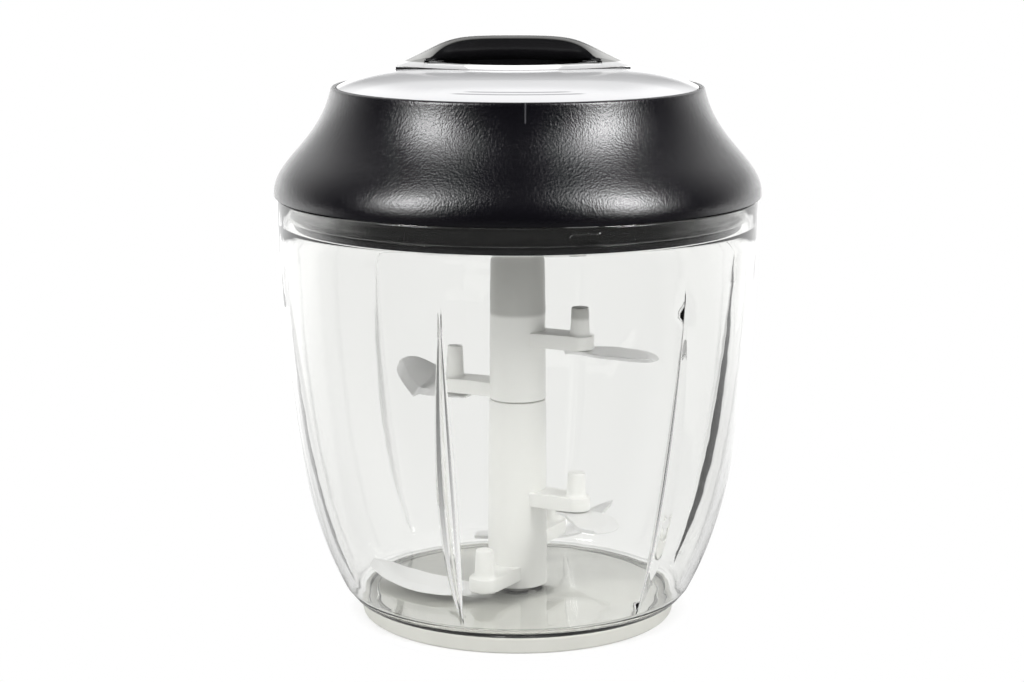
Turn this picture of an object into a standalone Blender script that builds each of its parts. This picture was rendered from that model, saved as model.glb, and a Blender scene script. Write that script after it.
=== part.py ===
"""Pull-cord food chopper: a clear ribbed bowl, a five-blade carrier and a lid with a recoil reel.

Metres, +Z up. The front, with the finger scoop of the handle, faces -Y. The origin is on the
axis of the bowl, on the surface that it stands on. Angles are in degrees, counter-clockwise
from +X seen from above.
"""
import math
from collections import namedtuple

import bmesh
import bpy
from mathutils import Vector

# Fits and mesh steps
SEAT = 0.0003
BLEND = 0.00005
STEPS = 40
REEL_STEPS = 32
SMALL_STEPS = 16
TINY_STEPS = 8
ROUND_END_STEPS = 6
SMOOTH_ANGLE = math.radians(35)

# Base pad
PAD_HEIGHT = 0.0046
PAD_RADIUS = 0.0450
PAD_DRAFT = 0.0007
PAD_GROOVE_FLOOR = 0.0020

# Bowl
BOWL_HEIGHT = 0.1196
BOWL_RIM_RADIUS = 0.06714
BOWL_CORNER_RADIUS = 0.0465
BOWL_HEEL = (0.04947, 0.0085)
BELLY_LOW = (0.06032, 0.02915)
BELLY_HIGH = (BOWL_RIM_RADIUS - 0.00014, 0.06282)
BOWL_WALL = 0.0022
FLOOR_THICKNESS = 0.0019
FLOOR_RADIUS = 0.0437
COLLAR_WALL = 0.0018
COLLAR_HEIGHT = 0.0071
FOOT_RADIUS = 0.0430
FOOT_WALL = 0.0024
BOSS_RADIUS = 0.0045
BOSS_HEIGHT = 0.0022
BOWL_ROWS = 8

# Ribs inside the bowl
RIB_COUNT = 6
RIB_FIRST_ANGLE = -110
RIB_BOTTOM = 0.0095
RIB_TOP = 0.0980
RIB_WIDTH = 0.0055
RIB_DEPTH = 0.0030
RIB_BELLY = 0.765
RIB_LEAST_WIDTH = 0.0008
RIB_SHOULDER = 0.72
COLUMNS_BETWEEN_RIBS = 5

# Pivot pin in the bowl
PIN_RADIUS = 0.0020
PIN_LENGTH = 0.0218
PIN_DOME = 0.0008
PIN_DOME_FLAT = 0.7
PIN_SKIN = 0.0010

# Blade carrier shaft
SHAFT_BOTTOM_RADIUS = 0.0085
SHAFT_TOP_RADIUS = 0.0076
SHAFT_FLOOR_GAP = 0.0006
SEAM_HEIGHT = 0.0613
TENON_RADIUS = 0.0049
TENON_LENGTH = 0.0120
SOCKET_RADIUS = TENON_RADIUS + 0.00035
DRIVE_DEPTH = 0.0276
SOCKET_SPARE = 0.0010
SHAFT_LID_GAP = 0.0008

# Arms and pegs
ARM_REACH = 0.0195
ARM_THICKNESS = 0.0040
ARM_ROOT_HALF_WIDTH = 0.0050
ARM_END_RADIUS = 0.0040
PEG_RADIUS = 0.0027
PEG_TAPER = 0.0003
PEG_CHAMFER = 0.0005
STUD_RADIUS = 0.0015
STUD_LENGTH = 0.0018

# Blades
BLADE_THICKNESS = 0.0010
BLADE_EDGE = 0.00015
BLADE_BEVEL = 0.0035
BLADE_STATIONS = 13
BLADE_BELLY = 0.45
TANG_WIDTH = 0.0078
BEND_MARGIN = 0.0020

Arm = namedtuple("Arm", "name angle base peg_height")
Blade = namedtuple("Blade", "name arm heel knee tip width fullness tilt rise")

# An arm's base is its underside, measured up from the surface that the chopper stands on
ARMS = (
    Arm("upper_right", -27.3, SEAM_HEIGHT + 0.0161, 0.0078),
    Arm("upper_left", 155.0, SEAM_HEIGHT + 0.0007, 0.0090),
    Arm("lower_right", -32.0, 0.0315, 0.0068),
    Arm("lower_rear", 58.0, 0.0150, 0.0070),
    Arm("lower_left", -118.5, 0.0099, 0.0078),
)
# Heel, knee and tip are the control points of a blade's middle line, each a radius from the
# shaft's axis and a turn from its arm. Tilt lifts the back edge, and rise lifts the tip.
BLADES = (
    Blade("upper_right", "upper_right", (0.0146, 0), (0.0297, 17), (0.0430, -5), 0.0158, 3, 3, -0.0004),
    Blade("upper_left", "upper_left", (0.0146, 0), (0.0280, -2), (0.0402, -5), 0.0150, 3, 25, 0.0035),
    Blade("lower_right", "lower_right", (0.0146, 0), (0.0285, 2), (0.0394, -27), 0.0130, 9, 0, -0.0010),
    Blade("lower_rear", "lower_rear", (0.0216, 66), (0.0175, -2), (0.0410, -12), 0.0120, 3, 0, 0.0065),
    Blade("lower_left", "lower_left", (0.0146, 0), (0.0297, -29), (0.0440, -75), 0.0142, 3, 0, 0.0030),
)

# Lid shell
LID_OVERHANG = 0.00066
LID_RADIUS = BOWL_RIM_RADIUS + LID_OVERHANG
LID_SHOULDER_OUT = 0.00033
LID_SHOULDER_UP = 0.00958
LID_NECK_OUT = 0.00368
LID_NECK_DOWN = 0.01621
NECK_RADIUS = 0.05174
LID_SHELL_HEIGHT = 0.0302
LID_WALL = 0.0022
LID_FLANGE_THICKNESS = 0.0015
LID_FLANGE_OVERLAP = 0.0016
LID_ROWS = 9
LID_POST_RADIUS = 0.0028
LID_SCREW_ANGLES = (45, 135, 225, 315)

# Lid base, with the skirt that enters the collar
PLATE_THICKNESS = 0.0025
SEAL_SPACE = 0.00294
SKIRT_RADIUS = BOWL_RIM_RADIUS - COLLAR_WALL - SEAL_SPACE
LID_SCREW_INSET = 0.0056
LID_SCREW_CIRCLE = SKIRT_RADIUS - LID_SCREW_INSET
SKIRT_WALL = 0.0022
SKIRT_DEPTH = 0.0041
BEAD = 0.0005
BEAD_HEIGHT = 0.0008
SEAL_LIP = 0.0004

# Top cap
CAP_EDGE = 0.0006
CAP_RISE = 0.0043
CAP_POWER = 5
CAP_THICKNESS = 0.0020
CAP_OVERHANG = 0.0001
CAP_SKIRT_DEPTH = 0.0044
CAP_SKIRT_WALL = 0.0016

# Handle seat: lens outlines, each with a half length along X and a half depth along Y
HANDLE_OFFSET = -0.0013
HANDLE_SINK = 0.0001
HANDLE_LENS = (0.0322, 0.0160)
CAP_LENS_GAP = 0.0007
DOCK_LENS_INSET = 0.0003
DOCK_WALL = 0.0018
DOCK_FLANGE = 0.0027
DOCK_FLANGE_THICKNESS = 0.0015
DOCK_FLANGE_DROP = 0.0034
WELL_LENS = (0.0220, 0.0120)
WELL_FLOOR = 0.0016
LENS_STEPS = 10

# Handle
CREST_HEIGHT = 0.0084
CREST_NEAR = 0.01936
CREST_FAR = (0.01676, 0.0077)
CREST_TIP = 0.0003
BAR_DEPTH = 0.0048
BAR_FLARE = 0.0112
BAR_FLARE_REACH = 0.0220
BAR_FLARE_POWER = 5.3
HANDLE_END = 0.0235
END_STEP = 0.0001
HANDLE_TIP = 0.0004
OPEN_SHARES = (0.0, 0.26, 0.45, 0.575, 0.68, 0.766, 0.843, 0.906, 1.0)
CLOSED_SHARES = (0.0, 0.2, 0.42, 0.64, 0.84, 1.0)
STRIP_EDGE = 0.0009
CROWN = 0.0004
END_CROWN = 0.0016
END_CROWN_HALF_DEPTH = 0.0080
END_SHARE = 0.45
ARCH_SHOULDER = (0.55, 0.72)
GRIP_THICKNESS = 0.0044
GRIP_HALF_WIDTH = 0.0085
GRIP_STEPS = 6
GRIP_SIDE = 0.35
RING_HEIGHT = 0.0012
RING_WIDTH = 0.0024
SCOOP_DEPTH = 0.0008
SCOOP_HALF_LENGTH = 0.0118
SCOOP_SLOPE = 0.0020
RING_END_STEPS = 3
HANDLE_PLATE_THICKNESS = 0.0030
HANDLE_PLATE_GAP = 0.0005
PLATE_LENS = (0.0230, 0.0115)
LINER_LENS = (0.0222, 0.0118)
LINER_END = 0.0232
LINER_STEPS = 16
HANDLE_SCREW_X = -0.0260

# Cord and its fittings
CORD_RADIUS = 0.0010
CORD_X = 0.0263
CORD_PITCH = 0.00245
CORD_LAYER_RADIUS = 0.0149
CORD_POINTS_PER_TURN = 18
KNOT_RADIUS = 0.0020
KNOT_HEIGHT = 0.0012
KNOT_FLOOR = 0.0013
KNOT_FLAT = 0.75
EYELET_RADIUS = 0.0023
EYELET_FLANGE = 0.0007
EYELET_FLANGE_THICKNESS = 0.0008
EYELET_LENGTH = 0.0062
EYELET_FLARE = 0.0004

# Reel stack above the lid base
BUSH_WALL = 0.0012
BUSH_FLANGE = 0.0015
BUSH_FLANGE_THICKNESS = 0.0008
BUSH_BELOW = 0.0005
JOURNAL_RADIUS = 0.0056
SPIGOT_COLLAR_RADIUS = 0.0070
SPIGOT_COLLAR_HEIGHT = 0.0019
CUP_TENON_RADIUS = 0.0044
CUP_FLOOR = 0.0013
CUP_WALL = 0.0014
PAWL_THICKNESS = 0.0021
TOOTH_COUNT = 12
TOOTH_ROOT_RADIUS = 0.0156
TOOTH_TIP_RADIUS = 0.0139
TOOTH_LEAN = 2.6
TOOTH_FLAT = 12
SPOOL_FLANGE_THICKNESS = 0.0010
SPOOL_GROOVE = 0.0064
SPOOL_FLANGE_LIP = 0.0012
SPRING_HEIGHT = 0.0036
SPRING_THICKNESS = 0.0004
SPRING_TURNS = 4
SPRING_POINTS_PER_TURN = 14
SPRING_CLEARANCE = 0.0003
ARBOR_RADIUS = 0.0039
CASE_RADIUS = 0.0175
CASE_WALL = 0.0014
CASE_TOP = 0.0016
EAR_CIRCLE = 0.0270
EAR_THICKNESS = 0.0024
EAR_WIDTH = 0.0060
EAR_RADIUS = 0.0032
EAR_ANGLES = (60, 180, 300)
CASE_POST_RADIUS = 0.0028
AXLE_RADIUS = 0.0025
AXLE_HEAD_RADIUS = 0.0042
AXLE_HEAD_THICKNESS = 0.0008

# Pawls
PAWL_PIVOT_CIRCLE = 0.0110
PAWL_PIN_RADIUS = 0.0012
PAWL_BOSS_RADIUS = 0.0023
PAWL_NOSE_ANGLE = 50
PAWL_NOSE_WIDTH = 0.0019
PAWL_FACE_GAP = 4
PAWL_NAMES = ("pawl_front", "pawl_rear")

# Guide pulley, on an axle in a post of the lid base
PULLEY_GROOVE_RADIUS = 0.0020
PULLEY_FLANGE_RADIUS = 0.0034
PULLEY_HALF_WIDTH = 0.0022
PULLEY_RIM = 0.0006
PULLEY_GROOVE_HALF_WIDTH = 0.0009
PULLEY_AXLE_RADIUS = 0.0010
PULLEY_POST_GAP = 0.0004
PULLEY_POST_LENGTH = 0.0060
PULLEY_POST_THICKNESS = 0.0040
PULLEY_POST_ABOVE = 0.0026
PULLEY_HEAD_RADIUS = 0.0018
PULLEY_HEAD_THICKNESS = 0.0006

SCREW_FLAT = 0.7
SCREW_EDGE = 0.6
Screw = namedtuple("Screw", "head_radius head_height shank_radius shank_length")
LID_SCREW = Screw(0.0024, 0.0014, 0.0013, 0.0115)
CASE_SCREW = Screw(0.0024, 0.0012, 0.0011, 0.0084)
AXLE_SCREW = Screw(0.0036, 0.0010, 0.0012, 0.0060)
SPIGOT_SCREW = Screw(0.0054, 0.0008, 0.0012, 0.0090)
HANDLE_SCREW = Screw(0.0019, 0.0010, 0.0010, 0.0031)

# Heights of the bowl group
UNDERSIDE_Z = PAD_HEIGHT + SEAT
FLOOR_Z = UNDERSIDE_Z + FLOOR_THICKNESS
BOSS_Z = FLOOR_Z + BOSS_HEIGHT
PIN_BOTTOM_Z = UNDERSIDE_Z + PIN_SKIN + SEAT
PIN_TOP_Z = PIN_BOTTOM_Z + PIN_LENGTH
SHAFT_BOTTOM_Z = FLOOR_Z + SHAFT_FLOOR_GAP

# Heights of the lid group, from the bowl's rim up
LID_Z = BOWL_HEIGHT + SEAT
PLATE_TOP_Z = LID_Z - SEAT
PLATE_BOTTOM_Z = PLATE_TOP_Z - PLATE_THICKNESS
SKIRT_BOTTOM_Z = PLATE_BOTTOM_Z - SKIRT_DEPTH
NECK_Z = LID_Z + LID_SHELL_HEIGHT
CAP_Z = NECK_Z + SEAT
CAP_TOP_Z = CAP_Z + CAP_EDGE + CAP_RISE
BUSH_TOP_Z = PLATE_TOP_Z + SEAT + BUSH_FLANGE_THICKNESS
BUSH_BOTTOM_Z = PLATE_BOTTOM_Z - BUSH_BELOW
CUP_Z = BUSH_TOP_Z + SEAT
CUP_FLOOR_Z = CUP_Z + CUP_FLOOR
SPIGOT_COLLAR_Z = BUSH_BOTTOM_Z - SEAT - SPIGOT_COLLAR_HEIGHT
SHAFT_TOP_Z = SPIGOT_COLLAR_Z - SHAFT_LID_GAP
SPIGOT_TIP_Z = SHAFT_TOP_Z - DRIVE_DEPTH
PAWL_Z = CUP_FLOOR_Z + SEAT
SPOOL_Z = PAWL_Z + PAWL_THICKNESS + SEAT
GROOVE_Z = SPOOL_Z + SPOOL_FLANGE_THICKNESS
GROOVE_TOP_Z = GROOVE_Z + SPOOL_GROOVE
SPOOL_TOP_Z = GROOVE_TOP_Z + SPOOL_FLANGE_THICKNESS
SPRING_Z = SPOOL_TOP_Z + 2 * SEAT
ARBOR_TOP_Z = SPRING_Z + SPRING_HEIGHT + SEAT
CASE_Z = SPOOL_TOP_Z + SEAT
CASE_ROOF_Z = ARBOR_TOP_Z + SEAT
CASE_TOP_Z = CASE_ROOF_Z + CASE_TOP
EAR_Z = CASE_ROOF_Z - EAR_THICKNESS
DOCK_Z = CASE_TOP_Z + SEAT

# Heights of the handle, from the cap's hole down and up
HANDLE_Z = CAP_TOP_Z - HANDLE_SINK
DOCK_TOP_Z = HANDLE_Z - SEAT
HANDLE_PLATE_Z = DOCK_TOP_Z - HANDLE_PLATE_THICKNESS
LEDGE_Z = HANDLE_PLATE_Z - SEAT
WELL_FLOOR_Z = DOCK_Z + WELL_FLOOR
KNOT_FLOOR_Z = HANDLE_PLATE_Z + KNOT_FLOOR
EYELET_TOP_Z = LEDGE_Z - SEAT

# Radii that follow from the reel and the cord
INNER_LAYER_RADIUS = CORD_LAYER_RADIUS - 2 * CORD_RADIUS - SEAT
SPOOL_HUB_RADIUS = INNER_LAYER_RADIUS - CORD_RADIUS - SEAT
SPOOL_FLANGE_RADIUS = CORD_LAYER_RADIUS + CORD_RADIUS + SPOOL_FLANGE_LIP
CUP_RADIUS = TOOTH_ROOT_RADIUS + CUP_WALL
BUSH_BORE = JOURNAL_RADIUS + SEAT
BUSH_RADIUS = BUSH_BORE + BUSH_WALL

# Route of the cord: down at the entry point, round the pulley, then along to the reel
ENTRY = Vector((HANDLE_OFFSET + CORD_X, 0, 0))
RUN_LENGTH = math.sqrt(ENTRY.length ** 2 - CORD_LAYER_RADIUS ** 2)
TOUCH_ANGLE = -math.acos(CORD_LAYER_RADIUS / ENTRY.length)
TOUCH = Vector((math.cos(TOUCH_ANGLE), math.sin(TOUCH_ANGLE), 0)) * CORD_LAYER_RADIUS
RUN_DIRECTION = (TOUCH - ENTRY).normalized()
RUN_Z = GROOVE_Z + SEAT + CORD_RADIUS
PULLEY_CORD_RADIUS = PULLEY_GROOVE_RADIUS + SEAT + CORD_RADIUS
PULLEY_Z = RUN_Z + PULLEY_CORD_RADIUS
PULLEY_CENTRE = ENTRY + RUN_DIRECTION * PULLEY_CORD_RADIUS + Vector((0, 0, PULLEY_Z))
COIL_TURNS = (SPOOL_GROOVE - 2 * SEAT - 2 * CORD_RADIUS) / CORD_PITCH


def clear_scene():
    for item in list(bpy.data.objects):
        bpy.data.objects.remove(item, do_unlink=True)


def material(name, colour, roughness, metallic=0.0, alpha=1.0):
    result = bpy.data.materials.new(name)
    result.use_nodes = True
    surface = result.node_tree.nodes["Principled BSDF"]
    surface.inputs["Base Color"].default_value = (*colour, 1.0)
    surface.inputs["Roughness"].default_value = roughness
    surface.inputs["Metallic"].default_value = metallic
    surface.inputs["Alpha"].default_value = alpha
    return result


def pivot(name, location=(0, 0, 0), parent=None):
    """An empty on a body's joint axis, which carries the pieces of that body."""
    empty = bpy.data.objects.new(name, None)
    empty.empty_display_size = 0.01
    bpy.context.scene.collection.objects.link(empty)
    empty.parent = parent
    offset = Vector(location)
    if parent:
        offset -= parent.matrix_world.translation
    empty.location = offset
    bpy.context.view_layer.update()
    return empty


def piece(name, mesh, surface, body, location=None, rotation=(0, 0, 0)):
    """Link one solid. Its mesh is in world coordinates unless a location is given."""
    bmesh.ops.recalc_face_normals(mesh, faces=mesh.faces)
    data = bpy.data.meshes.new(name)
    mesh.to_mesh(data)
    mesh.free()
    data.shade_smooth()
    data.set_sharp_from_angle(angle=SMOOTH_ANGLE)
    data.materials.append(surface)
    result = bpy.data.objects.new(name, data)
    bpy.context.scene.collection.objects.link(result)
    result.parent = body
    result.location = Vector(location or (0, 0, 0)) - body.matrix_world.translation
    result.rotation_euler = rotation
    return result


def combine(target, mesh, operation, label, location=None, rotation=(0, 0, 0)):
    """Join a second shape to a piece, or cut it out, with a hidden guide."""
    name = f"guide_{target.name}_{label}"
    guide = piece(name, mesh, target.data.materials[0], target.parent, location, rotation)
    guide.hide_render = True
    guide.display_type = "WIRE"
    modifier = target.modifiers.new(label, "BOOLEAN")
    modifier.operation = operation
    modifier.object = guide
    modifier.solver = "EXACT"


def join_rings(mesh, first, second):
    """Faces between two rings of vertices; either may be a single vertex on the axis."""
    count = max(len(first), len(second))
    for k in range(count):
        n = (k + 1) % count
        corners = [first[k % len(first)], first[n % len(first)]]
        corners += [second[n % len(second)], second[k % len(second)]]
        mesh.faces.new(list(dict.fromkeys(corners)))


def turned(profile, steps=STEPS, phase=0.0):
    """A solid turned about Z from (radius, height) points, open at the axis or a closed ring."""
    mesh = bmesh.new()
    rings = []
    for radius, height in profile:
        if radius == 0:
            rings.append([mesh.verts.new((0, 0, height))])
            continue
        ring = []
        for k in range(steps):
            angle = phase + 2 * math.pi * k / steps
            ring.append(mesh.verts.new((radius * math.cos(angle), radius * math.sin(angle), height)))
        rings.append(ring)
    if len(rings[0]) > 1:
        rings.append(rings[0])
    for first, second in zip(rings, rings[1:]):
        join_rings(mesh, first, second)
    return mesh


def cylinder(radius, low, high, steps=SMALL_STEPS):
    return turned([(0, low), (radius, low), (radius, high), (0, high)], steps)


def tube(inner, outer, low, high, steps=STEPS):
    return turned([(inner, low), (outer, low), (outer, high), (inner, high)], steps)


def hexagon(radius, low, high):
    return turned([(0, low), (radius, low), (radius, high), (0, high)], 6)


def loft(sections):
    """A solid through sections that each list the same number of points."""
    mesh = bmesh.new()
    rings = [[mesh.verts.new(point) for point in section] for section in sections]
    for first, second in zip(rings, rings[1:]):
        join_rings(mesh, first, second)
    mesh.faces.new(rings[0])
    mesh.faces.new(rings[-1])
    return mesh


def prism(outline, low, high):
    return loft([[(x, y, z) for x, y in outline] for z in (low, high)])


def box(low, high):
    outline = [(low[0], low[1]), (high[0], low[1]), (high[0], high[1]), (low[0], high[1])]
    return prism(outline, low[2], high[2])


def bezier(start, near, far, end, count):
    """Points along a cubic curve in the plane."""
    points = []
    for k in range(count):
        t = k / (count - 1)
        weights = ((1 - t) ** 3, 3 * (1 - t) ** 2 * t, 3 * (1 - t) * t ** 2, t ** 3)
        controls = (start, near, far, end)
        points.append(tuple(sum(w * c[i] for w, c in zip(weights, controls)) for i in (0, 1)))
    return points


def offset_curve(points, distance):
    """The curve moved to its left by a distance, with the ends square to their tangents."""
    result = []
    for k, (x, y) in enumerate(points):
        before = points[max(k - 1, 0)]
        after = points[min(k + 1, len(points) - 1)]
        dx, dy = after[0] - before[0], after[1] - before[1]
        length = math.hypot(dx, dy)
        result.append((x - distance * dy / length, y + distance * dx / length))
    return result


def height_on(points, x):
    """The second value of a curve where its first value is x."""
    for (x0, y0), (x1, y1) in zip(points, points[1:]):
        if min(x0, x1) <= x <= max(x0, x1) and x0 != x1:
            return y0 + (y1 - y0) * (x - x0) / (x1 - x0)
    nearest = min(points, key=lambda point: abs(point[0] - x))
    return nearest[1]


def polar(radius, degrees, height=0.0):
    angle = math.radians(degrees)
    return Vector((radius * math.cos(angle), radius * math.sin(angle), height))


def ease(value):
    value = min(max(value, 0.0), 1.0)
    return value * value * (3 - 2 * value)


def screw(name, size, surface, body, location, upward):
    """A pan head with a plain shank, its head's inner face at the location."""
    sign = 1 if upward else -1
    rim = size.head_radius
    crown = SCREW_FLAT * rim
    profile = [
        (0, -size.head_height),
        (crown, -size.head_height),
        (rim, -SCREW_EDGE * size.head_height),
        (rim, 0),
        (size.shank_radius, 0),
        (size.shank_radius, size.shank_length),
        (0, size.shank_length),
    ]
    mesh = turned([(radius, sign * height) for radius, height in profile], TINY_STEPS)
    return piece(name, mesh, surface, body, location)


def lens(half_length, half_depth):
    """Two parabolic arcs that meet in a point at each end, counter-clockwise."""
    points = []
    for side in (-1, 1):
        for k in range(LENS_STEPS):
            x = side * half_length * (2 * k / LENS_STEPS - 1)
            points.append((-x, side * half_depth * (1 - (x / half_length) ** 2)))
    return [(x + HANDLE_OFFSET, y) for x, y in points]


def grown(size, amount):
    return size[0] + amount, size[1] + amount


# Bowl group

def bowl_belly():
    end = (BOWL_RIM_RADIUS, BOWL_HEIGHT)
    return bezier(BOWL_HEEL, BELLY_LOW, BELLY_HIGH, end, BOWL_ROWS)


def rib_swell(height):
    """Share of the rib's full width and depth at a height: none at its ends, all at its belly."""
    share = (height - RIB_BOTTOM) / (RIB_TOP - RIB_BOTTOM)
    if not 0 < share < 1:
        return 0.0
    return math.sin(math.pi * share ** RIB_BELLY)


def bowl_ring(mesh, radius, height, ribbed):
    """One ring of the bowl's wall. Each rib has five columns, which spread as it swells."""
    swell = rib_swell(height) if ribbed else 0.0
    half = max(RIB_WIDTH * swell, RIB_LEAST_WIDTH) / 2
    if not ribbed:
        half = RIB_WIDTH / 2
    edge = math.degrees(half / radius)
    sector = 360 / RIB_COUNT
    ring = []
    for rib in range(RIB_COUNT):
        middle = RIB_FIRST_ANGLE + rib * sector
        columns = [(-edge, 0), (-edge / 2, RIB_SHOULDER), (0, 1), (edge / 2, RIB_SHOULDER), (edge, 0)]
        gap = (sector - 2 * edge) / (COLUMNS_BETWEEN_RIBS + 1)
        columns += [(edge + gap * k, 0) for k in range(1, COLUMNS_BETWEEN_RIBS + 1)]
        for turn, share in columns:
            depth = RIB_DEPTH * swell * share
            ring.append(mesh.verts.new(polar(radius - depth, middle + turn, height)))
    return ring


def make_bowl(body, clear):
    outer = bowl_belly()
    inner = offset_curve(outer, BOWL_WALL)
    rebate_z = BOWL_HEIGHT - COLLAR_HEIGHT
    inner = [point for point in inner if point[1] < rebate_z - COLLAR_HEIGHT]
    collar = BOWL_RIM_RADIUS - COLLAR_WALL
    heel = inner[0]
    profile = [(BOWL_CORNER_RADIUS, UNDERSIDE_Z, False)]
    profile += [(radius, height, False) for radius, height in outer]
    profile += [(collar, BOWL_HEIGHT, False), (collar, rebate_z, False)]
    profile += [(BOWL_RIM_RADIUS - BOWL_WALL, rebate_z - SEAT, False)]
    profile += [(radius, height, True) for radius, height in reversed(inner)]
    profile += [((heel[0] + FLOOR_RADIUS) / 2, FLOOR_Z + (heel[1] - FLOOR_Z) / 4, False)]
    profile += [(FLOOR_RADIUS, FLOOR_Z, False)]
    mesh = bmesh.new()
    rings = [bowl_ring(mesh, radius, height, ribbed) for radius, height, ribbed in profile]
    for first, second in zip(rings, rings[1:]):
        join_rings(mesh, first, second)
    mesh.faces.new(rings[0])
    mesh.faces.new(rings[-1])
    bowl = piece("bowl", mesh, clear, body)
    foot_bottom = PAD_GROOVE_FLOOR + SEAT
    foot = tube(FOOT_RADIUS - FOOT_WALL, FOOT_RADIUS, foot_bottom, UNDERSIDE_Z + FLOOR_THICKNESS / 2)
    combine(bowl, foot, "UNION", "foot")
    boss = cylinder(BOSS_RADIUS, FLOOR_Z - FLOOR_THICKNESS / 2, BOSS_Z)
    combine(bowl, boss, "UNION", "boss")
    hole = cylinder(PIN_RADIUS + SEAT, PIN_BOTTOM_Z - SEAT, BOSS_Z + SEAT)
    combine(bowl, hole, "DIFFERENCE", "pin_hole")


def make_base_pad(body, rubber):
    inner = FOOT_RADIUS - FOOT_WALL - SEAT
    outer = FOOT_RADIUS + SEAT
    profile = [
        (0, 0),
        (PAD_RADIUS - PAD_DRAFT, 0),
        (PAD_RADIUS, PAD_HEIGHT),
        (outer, PAD_HEIGHT),
        (outer, PAD_GROOVE_FLOOR),
        (inner, PAD_GROOVE_FLOOR),
        (inner, PAD_HEIGHT),
        (0, PAD_HEIGHT),
    ]
    piece("base_pad", turned(profile), rubber, body)


def make_pivot_pin(body, steel):
    shoulder = PIN_TOP_Z - PIN_DOME
    profile = [(0, PIN_BOTTOM_Z), (PIN_RADIUS, PIN_BOTTOM_Z), (PIN_RADIUS, shoulder)]
    profile += [(PIN_DOME_FLAT * PIN_RADIUS, PIN_TOP_Z - (1 - PIN_DOME_FLAT) * PIN_DOME), (0, PIN_TOP_Z)]
    piece("pivot_pin", turned(profile, SMALL_STEPS), steel, body)


# Blade carrier

def shaft_radius(height):
    share = (height - SHAFT_BOTTOM_Z) / (SHAFT_TOP_Z - SHAFT_BOTTOM_Z)
    return SHAFT_BOTTOM_RADIUS + (SHAFT_TOP_RADIUS - SHAFT_BOTTOM_RADIUS) * share


def add_arm(shaft, arm):
    """A flat arm with a round end, a peg above it and a stud below that holds the blade."""
    start = SHAFT_TOP_RADIUS / 2
    outline = [(start, -ARM_ROOT_HALF_WIDTH)]
    steps = ROUND_END_STEPS
    for k in range(steps + 1):
        angle = math.pi * (k / steps - 0.5)
        x = ARM_REACH + ARM_END_RADIUS * math.cos(angle)
        outline.append((x, ARM_END_RADIUS * math.sin(angle)))
    outline.append((start, ARM_ROOT_HALF_WIDTH))
    top = arm.base + ARM_THICKNESS
    turn = (0, 0, math.radians(arm.angle))
    bar = prism(outline, arm.base, top)
    combine(shaft, bar, "UNION", f"{arm.name}_arm", (0, 0, 0), turn)
    peg_top = top + arm.peg_height
    narrow = PEG_RADIUS - PEG_TAPER
    profile = [
        (0, top - ARM_THICKNESS / 2),
        (PEG_RADIUS, top - ARM_THICKNESS / 2),
        (PEG_RADIUS, top),
        (narrow, peg_top - PEG_CHAMFER),
        (narrow - PEG_CHAMFER, peg_top),
        (0, peg_top),
    ]
    end = polar(ARM_REACH, arm.angle)
    combine(shaft, turned(profile, SMALL_STEPS), "UNION", f"{arm.name}_peg", end)
    stud = cylinder(STUD_RADIUS, arm.base - STUD_LENGTH, arm.base + ARM_THICKNESS / 4, TINY_STEPS)
    combine(shaft, stud, "UNION", f"{arm.name}_stud", end)


def make_lower_shaft(body, white):
    bore = PIN_RADIUS + SEAT
    counterbore = BOSS_RADIUS + 2 * SEAT
    counterbore_top = BOSS_Z + 2 * SEAT
    bore_top = PIN_TOP_Z + SEAT
    profile = [
        (0, bore_top),
        (bore, bore_top),
        (bore, counterbore_top),
        (counterbore, counterbore_top),
        (counterbore, SHAFT_BOTTOM_Z),
        (SHAFT_BOTTOM_RADIUS, SHAFT_BOTTOM_Z),
        (shaft_radius(SEAM_HEIGHT), SEAM_HEIGHT),
        (0, SEAM_HEIGHT),
    ]
    shaft = piece("lower_shaft", turned(profile, STEPS // 2), white, body)
    tenon = hexagon(TENON_RADIUS, SEAM_HEIGHT - TENON_RADIUS, SEAM_HEIGHT + TENON_LENGTH)
    combine(shaft, tenon, "UNION", "tenon")
    for arm in ARMS:
        if arm.base < SEAM_HEIGHT:
            add_arm(shaft, arm)


def make_upper_shaft(body, white):
    bottom = SEAM_HEIGHT + SEAT
    profile = [(0, bottom), (shaft_radius(bottom), bottom), (SHAFT_TOP_RADIUS, SHAFT_TOP_Z), (0, SHAFT_TOP_Z)]
    shaft = piece("upper_shaft", turned(profile, STEPS // 2), white, body)
    for arm in ARMS:
        if arm.base >= SEAM_HEIGHT:
            add_arm(shaft, arm)
    socket = hexagon(SOCKET_RADIUS, bottom - SEAT, SEAM_HEIGHT + TENON_LENGTH + SEAT)
    combine(shaft, socket, "DIFFERENCE", "tenon_socket")
    drive = hexagon(SOCKET_RADIUS, SPIGOT_TIP_Z - SOCKET_SPARE, SHAFT_TOP_Z + SEAT)
    combine(shaft, drive, "DIFFERENCE", "drive_socket")


def blade_width(blade, share):
    """A tang's width at the heel, the full width at the belly, nearly nothing at the tip."""
    wide = TANG_WIDTH + (blade.width - TANG_WIDTH) * ease(share / BLADE_BELLY)
    return max(wide * math.sqrt(1 - share ** blade.fullness), 2 * BLADE_THICKNESS)


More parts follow.
